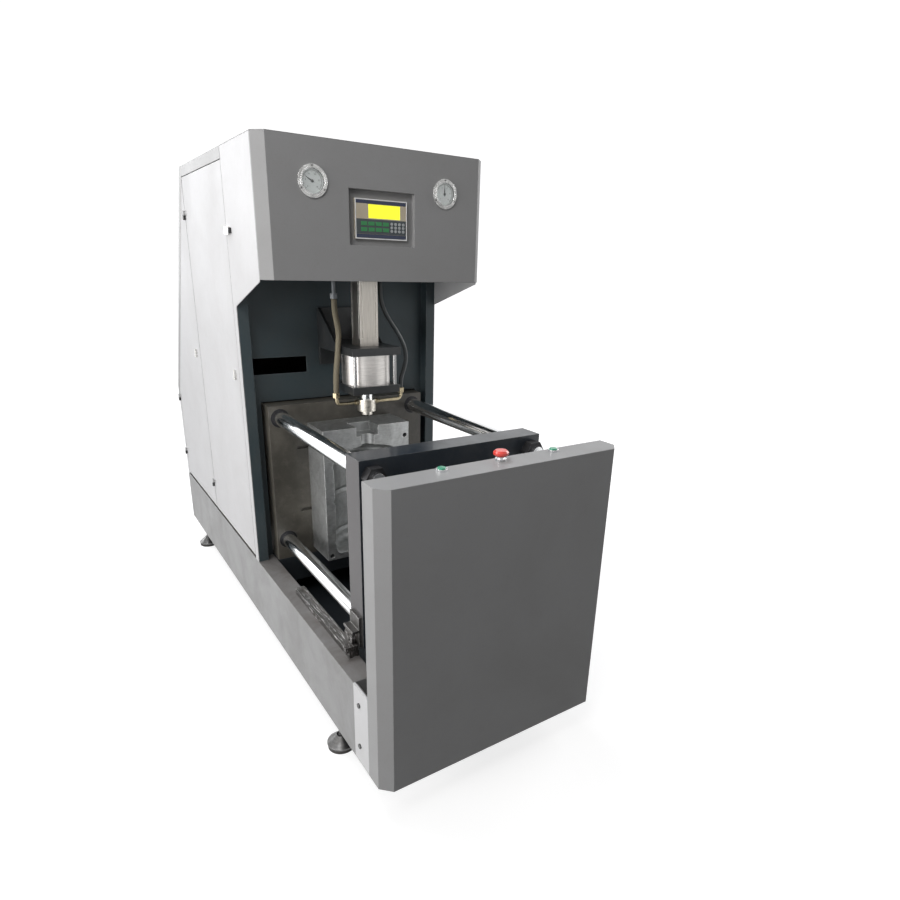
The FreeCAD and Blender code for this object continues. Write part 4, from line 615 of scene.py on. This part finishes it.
def build_dial_scale():
    """The printed scale of a dial: an arc with long and short lines over 270 degrees."""
    group, given, out = start_group(
        "dial_scale", "ShaderNodeTree",
        {"Paper": (0.7, 0.7, 0.7, 1), "Ink": (0.02, 0.02, 0.02, 1), "Outer": 0.0285,
         "Long Line": 0.0050, "Short Line": 0.0026, "Step": math.radians(SCALE_SWEEP / 10),
         "Sweep": math.radians(SCALE_SWEEP / 2 + 1), "Line Width": 0.0007},
        {"Color": "Color"})

    def count(operation, first, second=0.0):
        return calculate(group, operation, first, second)

    place = place_node(group, "ShaderNodeSeparateXYZ", Vector=object_place(group)).outputs
    beside = count("SUBTRACT", count("ABSOLUTE", place["X"]), GAUGE_X)
    above = count("SUBTRACT", place["Z"], GAUGE_Z)
    reach = count("SQRT", count("ADD", count("MULTIPLY", beside, beside),
                                count("MULTIPLY", above, above)))
    turn = count("ARCTAN2", beside, above)
    swept = count("LESS_THAN", count("ABSOLUTE", turn), given["Sweep"])
    inked = count("GREATER_THAN", reach, count("SUBTRACT", given["Outer"], given["Line Width"]))
    for parts, line in ((1.0, "Long Line"), (5.0, "Short Line")):
        step = count("DIVIDE", given["Step"], parts)
        nearest = count("SNAP", count("ADD", turn, count("MULTIPLY", step, 0.5)), step)
        off = count("MULTIPLY", count("ABSOLUTE", count("SUBTRACT", turn, nearest)), reach)
        thin = count("LESS_THAN", off, count("MULTIPLY", given["Line Width"], 0.5))
        past = count("GREATER_THAN", reach, count("SUBTRACT", given["Outer"], given[line]))
        inked = count("MAXIMUM", inked, count("MULTIPLY", thin, past))
    within = count("MULTIPLY", count("LESS_THAN", reach, given["Outer"]), swept)
    color = mix_colors(group, count("MULTIPLY", inked, within), given["Paper"], given["Ink"])
    group.links.new(color, out.inputs["Color"])
    return group


dial_print, tree, shader = start_finish("dial_print", (0.70, 0.71, 0.70), 0.5)
scale = place_node(tree, "ShaderNodeGroup", {"node_tree": build_dial_scale()},
                   Paper=(0.56, 0.57, 0.56, 1))
yellowed = remap(tree, noise(tree, object_place(tree), Scale=40.0, Detail=4.0), low=0.3, high=0.7,
                 to_low=0.90, to_high=1.04)
tree.links.new(mix_colors(tree, 1.0, scale.outputs["Color"], yellowed, "MULTIPLY"),
               shader.inputs["Base Color"])
dress(dial_print, "gauge_dials")
screw_circle = 0.0385
spots = [((side * GAUGE_X + screw_circle * math.sin(turn), flange_face,
           GAUGE_Z + screw_circle * math.cos(turn)), (0, -1, 0))
         for side in (-1, 1) for turn in (0, math.tau / 3, -math.tau / 3)]
set_heads("gauge_screws", spots, "machine", frame_slot("gauge_cases"), bolt_steel,
          Radius=0.0027, Rise=0.0014, Sides=20, Crown=0.62, Crown_Rise=-0.0006)
needle_black = paint("needle_black", (0.012, 0.012, 0.012), (0.03, 0.03, 0.03), (0.08, 0.08, 0.08),
                     Patch_Scale=90.0, Speck_Amount=0.1, Edge_Width=0.0003, Edge_Wear=0.3,
                     Roughness=0.4, Grain=0.03)
dress(needle_black, "gauge_pointer_left", "gauge_pointer_right")


def print_numbers(name, values, center, reach, height):
    """Plain numbers printed round a dial, in thin ink that stands just clear of its face."""
    printed = bmesh.new()
    for index, value in enumerate(values):
        turn = math.radians(SCALE_START + SCALE_SWEEP * index / (len(values) - 1))
        letters = bpy.data.curves.new(name, "FONT")
        letters.body = str(value)
        letters.size = height
        letters.align_x = letters.align_y = "CENTER"
        letters.extrude = 0.00005
        letters.resolution_u = 3
        holder = bpy.data.objects.new(name, letters)
        drawn = bpy.data.meshes.new_from_object(holder)
        drawn.transform(Matrix.Translation((center[0] + reach * math.sin(turn), center[1],
                                            center[2] + reach * math.cos(turn)))
                        @ Matrix.Rotation(math.radians(90), 4, "X"))
        printed.from_mesh(drawn)
        bpy.data.objects.remove(holder)
        bpy.data.meshes.remove(drawn)
    sit(name, printed, "machine", needle_black)


ink_rise = 0.0001
for name, side, values in (("left_gauge_numbers", -1, range(0, 41, 8)),
                           ("right_gauge_numbers", 1, range(0, 11, 2))):
    print_numbers(name, values, (side * GAUGE_X, dial_face - ink_rise, GAUGE_Z),
                  reach=0.0195, height=0.0055)
glass, tree, shader = start_finish("gauge_glass", (0.95, 0.97, 0.97), 0.03)
shader.inputs["Transmission Weight"].default_value = 1.0
shader.inputs["IOR"].default_value = 1.45
wiped = noise(tree, object_place(tree), Scale=45.0, Detail=4.0)
tree.links.new(remap(tree, wiped, low=0.45, high=0.75, to_low=0.02, to_high=0.16),
               shader.inputs["Roughness"])
dress(glass, "gauge_glasses")

# --- Controller ---------------------------------------------------------------
# A plastic case in a recessed sheet tray. Its front has a metal bezel, a title strip, a
# yellow-green display, eight green keys and twelve round grey ones over a lower strip.
# The tray takes the darker grey copy of the paint as painted shade.
dress(grey_and_shaded_paint, "controller_tray")
panel_beige = paint("panel_beige", (0.56, 0.49, 0.37), (0.34, 0.29, 0.22), (0.7, 0.64, 0.54),
                    Patch_Scale=25.0, Edge_Width=0.001, Edge_Wear=0.4, Roughness=0.5, Grain=0.1)
dress(panel_beige, "controller_case")
lit, tree, shader = start_finish("display_glow", (0.55, 0.60, 0.02), 0.25)
cells = remap(tree, noise(tree, object_place(tree), Scale=90.0, Detail=2.0), low=0.3, high=0.7,
              to_low=0.88, to_high=1.05)
tree.links.new(mix_colors(tree, 1.0, (0.95, 0.93, 0.03, 1), cells, "MULTIPLY"),
               shader.inputs["Emission Color"])
shader.inputs["Emission Strength"].default_value = 0.9
dress(lit, "controller_screen")


def plain_plastic(name, color, rough, spread):
    """Moulded or printed plastic: its own colour, a little mottled and scuffed."""
    soiled = tuple(0.6 * part for part in color)
    scuffed = tuple(min(1, 1.5 * part + 0.03) for part in color)
    return paint(name, color, soiled, scuffed, Grime_Amount=0.35, Patch_Scale=spread,
                 Speck_Amount=0.15, Edge_Width=0.0006, Edge_Wear=0.4, Roughness=rough, Grain=0.05)


title_navy = plain_plastic("title_navy", (0.016, 0.025, 0.060), 0.35, 40.0)
field_slate = plain_plastic("field_slate", (0.045, 0.055, 0.060), 0.40, 30.0)
key_green = plain_plastic("key_green", (0.03, 0.22, 0.07), 0.40, 160.0)
key_grey = plain_plastic("key_grey", (0.42, 0.44, 0.45), 0.42, 200.0)
bezel_silver = metal("bezel_silver", (0.50, 0.50, 0.50), (0.30, 0.30, 0.29), (0.8, 0.8, 0.8),
                     Stain_Amount=0.2, Patch_Scale=40.0, Edge_Width=0.0005, Edge_Shine=0.4,
                     Roughness=0.32, Marks=0.05)
controller_slot = frame_slot("controller_case")
case_low, case_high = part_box("controller_case")
left_edge, case_face, low_edge = case_low
right_edge, top_edge = case_high[0], case_high[2]
rim, rim_rise, strip_rise, strip_reach = 0.003, 0.0012, 0.0005, 0.0825


def add_plates(name, plates, thick, edge, finish):
    """Thin plates on the controller's front in one piece, each between two corners in x and z."""
    shell = bmesh.new()
    for (left, bottom), (right, top) in plates:
        add_block(shell, (left, case_face - thick, bottom), (right, case_face, top), edge)
    sit(name, shell, "machine", finish)


add_plates("controller_bezel",
           (((left_edge, top_edge - rim), (right_edge, top_edge)),
            ((left_edge, low_edge), (right_edge, low_edge + rim)),
            ((left_edge, low_edge + rim), (left_edge + rim, top_edge - rim)),
            ((right_edge - rim, low_edge + rim), (right_edge, top_edge - rim))),
           rim_rise, 0.0004, bezel_silver)
for name, bottom, top, finish in (("title_strip", 1.5640, 1.5735, title_navy),
                                  ("key_field", 1.4815, 1.5225, field_slate),
                                  ("lower_strip", 1.4705, 1.4810, title_navy)):
    add_plates(name, (((-strip_reach, bottom), (strip_reach, top)),), strip_rise, 0.0003, finish)
for name, columns, rows, finish, shape in (
        ("green_keys", (-0.0577, -0.0337, -0.0098, 0.0141), (1.510, 1.494), key_green,
         {"Radius": 0.0078, "Rise": 0.0009, "Sides": 4, "Turn": math.radians(45),
          "Stretch": (1.82, 1.0, 1.0), "Crown": 0.9, "Crown_Rise": 0.0004}),
        ("grey_keys", (0.0337, 0.0468, 0.0599, 0.0730), (1.512, 1.502, 1.492), key_grey,
         {"Radius": 0.0043, "Rise": 0.0012, "Sides": 24, "Crown": 0.8, "Crown_Rise": 0.0005})):
    spots = [((x, case_face - strip_rise, z), (0, -1, 0)) for x in columns for z in rows]
    set_heads(name, spots, "machine", controller_slot, finish, **shape)

# --- Clamp: platens, tie bars, crosshead and cylinder -------------------------
# Thick steel plates, machined on their edges and dark enamelled on their faces, on
# four hard-chromed bars. The cylinder pulls the crosshead.
platen_enamel = paint("platen_enamel", (0.014, 0.020, 0.026), (0.05, 0.048, 0.045),
                      (0.26, 0.27, 0.27), coat=0.2, Grime_Amount=0.4, Patch_Scale=9.0,
                      Speck_Amount=0.4, Edge_Width=0.0022, Edge_Wear=0.9, Roughness=0.36, Grain=0.1)
dress(platen_enamel, "crosshead")


def bare_sides(finish, color, rough):
    """Leaves a painted plate's left and right edges as they were machined, with fine marks."""
    tree = finish.node_tree
    shader = tree.nodes["Principled BSDF"]
    normal = place_node(tree, "ShaderNodeNewGeometry").outputs["True Normal"]
    across = place_node(tree, "ShaderNodeSeparateXYZ", Vector=normal).outputs["X"]
    bare = calculate(tree, "GREATER_THAN", calculate(tree, "ABSOLUTE", across), TURNED)
    marks = noise(tree, draw_out(tree, object_place(tree), (1, 14, 0.7)), Scale=22.0, Detail=6.0,
                  Roughness=0.7)
    shade = remap(tree, marks, low=0.3, high=0.7, to_low=0.72, to_high=1.18)
    dull = remap(tree, marks, low=0.3, high=0.7, to_low=rough - 0.08, to_high=rough + 0.10)
    steel = mix_colors(tree, 1.0, (*color, 1), shade, "MULTIPLY")
    painted = shader.inputs["Base Color"].links[0].from_socket
    sprayed = shader.inputs["Roughness"].links[0].from_socket
    smooth = place_node(tree, "ShaderNodeMix", {"data_type": "FLOAT"}, i0=bare, i2=sprayed, i3=dull)
    tree.links.new(mix_colors(tree, bare, painted, steel), shader.inputs["Base Color"])
    tree.links.new(smooth.outputs[0], shader.inputs["Roughness"])
    tree.links.new(bare, shader.inputs["Metallic"])


moving_enamel = paint("moving_enamel", (0.014, 0.020, 0.028), (0.05, 0.048, 0.045),
                      (0.30, 0.31, 0.32), coat=0.2, Grime_Amount=0.4, Patch_Scale=9.0,
                      Speck_Amount=0.4, Edge_Wear=0.9, Roughness=0.34, Grain=0.1)
bare_sides(moving_enamel, (0.10, 0.095, 0.097), 0.42)
dress(moving_enamel, "moving_platen")
fixed_enamel = paint("fixed_enamel", (0.050, 0.046, 0.038), (0.13, 0.12, 0.10), (0.22, 0.22, 0.21),
                     coat=0.15, Grime_Amount=0.7, Patch_Scale=3.5, Speck_Amount=0.5, Edge_Wear=0.8,
                     Roughness=0.40, Grain=0.12)
dress(fixed_enamel, "fixed_platen")
hard_chrome = metal("hard_chrome", (0.86, 0.87, 0.88), (0.60, 0.60, 0.60), (0.95, 0.95, 0.95),
                    Stain_Amount=0.15, Patch_Scale=20.0, Marks_Along=(6, 0.3, 6), Edge_Width=0.0003,
                    Edge_Shine=0.3, Roughness=0.16, Marks=0.05)
dress(hard_chrome, "tie_bars", "clamp_rod", "stretch_rod", "seal_piston_rod")
dark_steel = metal("dark_steel", (0.045, 0.045, 0.048), (0.025, 0.022, 0.02), (0.20, 0.20, 0.20),
                   Stain_Amount=0.5, Patch_Scale=50.0, Marks_Along=(1, 8, 1), Edge_Width=0.0006,
                   Edge_Shine=0.4, Roughness=0.48, Marks=0.12)
dress(dark_steel, "tie_bar_nuts", "tie_bar_bushes")
clear_aluminium = metal("clear_aluminium", (0.43, 0.405, 0.37), (0.46, 0.42, 0.36),
                        (0.94, 0.92, 0.88), Patch_Scale=10.0, Marks_Along=(9, 9, 0.5),
                        Edge_Shine=0.8, Roughness=0.34, Marks=0.08)
dress(clear_aluminium, "clamp_cylinder")

# --- Mould halves -------------------------------------------------------------
# Each half is milled from an aluminium block: worn and oiled outside, with a bright
# parting face and a polished cavity for the bottle, its rings, shoulder and neck.
mould_aluminium = metal("mould_aluminium", (0.47, 0.48, 0.48), (0.18, 0.18, 0.17),
                        (0.88, 0.88, 0.87), Stain_Amount=0.7, Patch_Scale=9.0,
                        Marks_Along=(2, 2, 7), Edge_Width=0.0016, Edge_Shine=0.95, Roughness=0.44,
                        Marks=0.16)
dress(mould_aluminium, "front_mould", "rear_mould")

# --- Tracks, brackets and rollers ---------------------------------------------
# Flat steel tracks on the ledges, worn bright by the rollers that carry the moving
# platen on angle brackets.
track_steel = metal("track_steel", (0.13, 0.125, 0.12), (0.06, 0.052, 0.045), (0.62, 0.61, 0.60),
                    Stain_Amount=0.7, Patch_Scale=26.0, Marks_Along=(14, 1, 1), Edge_Shine=0.9,
                    Roughness=0.34, Marks=0.15)


def score(finish, bright):
    """Thin bright lines that the rollers have worn along the steel."""
    tree = finish.node_tree
    color = tree.nodes["Principled BSDF"].inputs["Base Color"]
    lines = noise(tree, draw_out(tree, object_place(tree), (16, 0.7, 3)), Scale=24.0, Detail=6.0,
                  Roughness=0.7)
    worn = mix_colors(tree, remap(tree, lines, low=0.56, high=0.62), color.links[0].from_socket,
                      (*bright, 1))
    tree.links.new(worn, color)


score(track_steel, (0.74, 0.73, 0.72))
dress(track_steel, "roller_tracks", "rollers")
bracket_steel = metal("bracket_steel", (0.16, 0.155, 0.15), (0.06, 0.055, 0.05), (0.66, 0.65, 0.63),
                      Stain_Amount=0.6, Patch_Scale=40.0, Marks_Along=(2, 2, 5), Edge_Width=0.0012,
                      Edge_Shine=0.9, Roughness=0.32, Marks=0.15)
dress(bracket_steel, "roller_brackets")

# --- Stretching cylinder ------------------------------------------------------
# A square extruded aluminium profile with slots along it, and an end cap at each end.
dress(clear_aluminium, "stretch_cylinder")

# --- Sealing cylinder, nozzle and elbows --------------------------------------
# A turned aluminium barrel between black anodised square plates on four tie rods; under
# it the steel blowing nozzle, with an elbow on each side for a hose.
turned_aluminium = metal("turned_aluminium", (0.58, 0.56, 0.54), (0.50, 0.47, 0.43),
                         (0.90, 0.88, 0.85), Stain_Amount=0.2, Patch_Scale=14.0,
                         Marks_Along=(1, 1, 16), Edge_Width=0.0006, Roughness=0.36, Marks=0.02)
dress(turned_aluminium, "seal_barrel")
black_anodised = paint("black_anodised", (0.014, 0.016, 0.018), (0.04, 0.04, 0.038),
                       (0.20, 0.21, 0.21), coat=0.1, Grime_Amount=0.4, Patch_Scale=18.0,
                       Speck_Amount=0.3, Edge_Width=0.0015, Edge_Wear=0.7, Roughness=0.40,
                       Grain=0.08)
dress(black_anodised, "seal_cap", "cylinder_bracket")
turned_steel = metal("turned_steel", (0.66, 0.63, 0.57), (0.38, 0.33, 0.26), (0.90, 0.88, 0.84),
                     Stain_Amount=0.35, Patch_Scale=40.0, Marks_Along=(1, 1, 12), Edge_Width=0.0003,
                     Roughness=0.30, Marks=0.02)
dress(turned_steel, "blow_nozzle")
rod_steel = metal("rod_steel", (0.30, 0.30, 0.30), (0.14, 0.13, 0.12), (0.60, 0.60, 0.60),
                  Patch_Scale=30.0, Edge_Width=0.0002, Edge_Shine=0.0, Roughness=0.24, Marks=0.0)
dress(rod_steel, "seal_tie_rods")
pipe_grey = paint("pipe_grey", (0.20, 0.22, 0.24), (0.12, 0.12, 0.12), (0.34, 0.35, 0.36),
                  Patch_Scale=40.0, Edge_Width=0.0006, Roughness=0.35, Grain=0.05)
dress(pipe_grey, "blow_pipes")
elbow_brass = metal("elbow_brass", (0.50, 0.43, 0.29), (0.24, 0.19, 0.12), (0.80, 0.72, 0.55),
                    Stain_Amount=0.5, Patch_Scale=70.0, Edge_Width=0.0003, Edge_Shine=0.6,
                    Roughness=0.28, Marks=0.08)
dress(elbow_brass, "nozzle_elbows")

# --- Valves and the air inlet -------------------------------------------------
# Moulded valve bodies on a shelf in the head, and a nickel-plated bulkhead socket at the rear.
valve_plastic = paint("valve_plastic", (0.02, 0.02, 0.022), (0.06, 0.06, 0.058), (0.10, 0.10, 0.10),
                      Grime_Amount=0.4, Patch_Scale=30.0, Speck_Amount=0.3, Edge_Width=0.001,
                      Edge_Wear=0.4, Roughness=0.5)
dress(valve_plastic, "blow_valves")
nickel = metal("plated_brass", (0.62, 0.52, 0.34), (0.35, 0.27, 0.16), (0.85, 0.78, 0.6),
               Patch_Scale=60.0, Edge_Width=0.0008, Edge_Shine=0.6, Roughness=0.25, Marks=0.08)
dress(nickel, "air_inlet")

# --- Studio -------------------------------------------------------------------
# A pale floor that curves up behind the machine, and soft lamps on all sides and above in
# a weak surround. Seen directly, the floor grows white away from the machine.


def sweep_floor():
    """The floor and the wall behind it in one sheet, joined by a wide curve."""
    near, curve_start, radius, wall_top, half_width, steps = -9.0, 5.0, 3.0, 9.0, 14.0, 15
    profile = [(near, 0.0), (curve_start, 0.0)]
    profile += [(curve_start + radius * math.sin(turn), radius - radius * math.cos(turn))
                for turn in (math.radians(90 * step / steps) for step in range(1, steps + 1))]
    profile.append((curve_start + radius, wall_top))
    sheet = bmesh.new()
    rows = [[sheet.verts.new((x, y, z)) for x in (-half_width, half_width)] for y, z in profile]
    for low, high in zip(rows, rows[1:]):
        sheet.faces.new((low[0], low[1], high[1], high[0])).smooth = True
    mesh = bpy.data.meshes.new("floor")
    sheet.to_mesh(mesh)
    sheet.free()
    floor = bpy.data.objects.new("floor", mesh)
    bpy.context.scene.collection.objects.link(floor)
    floor.matrix_world = Matrix.Rotation(-view_turn, 4, "Z")
    return floor


def seen_directly(tree):
    """One where a ray from the camera, a mirror or a glass meets the backdrop, else zero."""
    sight = place_node(tree, "ShaderNodeLightPath").outputs
    seen = calculate(tree, "ADD", sight["Is Camera Ray"], sight["Is Glossy Ray"], clamp=True)
    return calculate(tree, "ADD", seen, sight["Is Transmission Ray"], clamp=True)


floor = sweep_floor()
floor_paint, tree, shader = start_finish("floor_paint", (0.07, 0.07, 0.07), 0.95)
seen = seen_directly(tree)
away = place_node(tree, "ShaderNodeVectorMath", {"operation": "LENGTH"}, i0=object_place(tree))
whiter = remap(tree, away.outputs["Value"], low=1.6, high=4.5, to_low=0.76)
tree.links.new(mix_colors(tree, seen, (0, 0, 0, 1), whiter), shader.inputs["Emission Color"])
tree.links.new(mix_colors(tree, seen, (0.07, 0.07, 0.07, 1), (0.42, 0.42, 0.42, 1)),
               shader.inputs["Base Color"])
shader.inputs["Emission Strength"].default_value = 1.0
shader.inputs["Specular IOR Level"].default_value = 0.0
floor.data.materials.append(floor_paint)

world = bpy.data.worlds.new("studio")
bpy.context.scene.world = world
world.use_nodes = True
tree = world.node_tree
backing = tree.nodes["Background"]
tree.links.new(mix_colors(tree, seen_directly(tree), (0.08, 0.082, 0.087, 1), (1, 1, 1, 1)),
               backing.inputs["Color"])
backing.inputs["Strength"].default_value = 1.0
bpy.context.scene.view_settings.view_transform = "Standard"


def soft_light(name, place, target, size, power, color, spread=180):
    """A wide soft light at a place, turned to a target and hidden from the camera."""
    lamp = bpy.data.lights.new(name, "AREA")
    lamp.shape = "RECTANGLE"
    lamp.spread = math.radians(spread)
    lamp.size, lamp.size_y = size
    lamp.energy = power
    lamp.color = color
    held = bpy.data.objects.new(name, lamp)
    bpy.context.scene.collection.objects.link(held)
    held.visible_camera = False
    aim = (Vector(target) - Vector(place)).to_track_quat("-Z", "Y")
    held.matrix_world = Matrix.Translation(place) @ aim.to_matrix().to_4x4()


soft_light("left_light", (-4.6, -1.15, 1.35), (0, -0.3, 0.9), size=(3.4, 2.2), power=166,
           color=(1.0, 0.99, 0.98))
soft_light("rear_light", (-2.7, 4.9, 2.3), (-0.3, -0.4, 0.9), size=(2.2, 2.4), power=100,
           color=(0.98, 0.99, 1.0))
soft_light("front_light", (-1.9, -2.1, 3.2), (-0.1, -0.43, 1.6), size=(1.2, 1.2), power=12,
           color=(1.0, 0.99, 0.98), spread=90)
soft_light("top_light", (-0.6, 0.9, 4.6), (0, -0.2, 0.8), size=(2.6, 2.6), power=135,
           color=(0.97, 0.98, 1.0))
soft_light("right_light", (4.4, -0.6, 2.8), (0, 0.2, 0.9), size=(2.4, 2.4), power=95,
           color=(1.0, 1.0, 1.0))
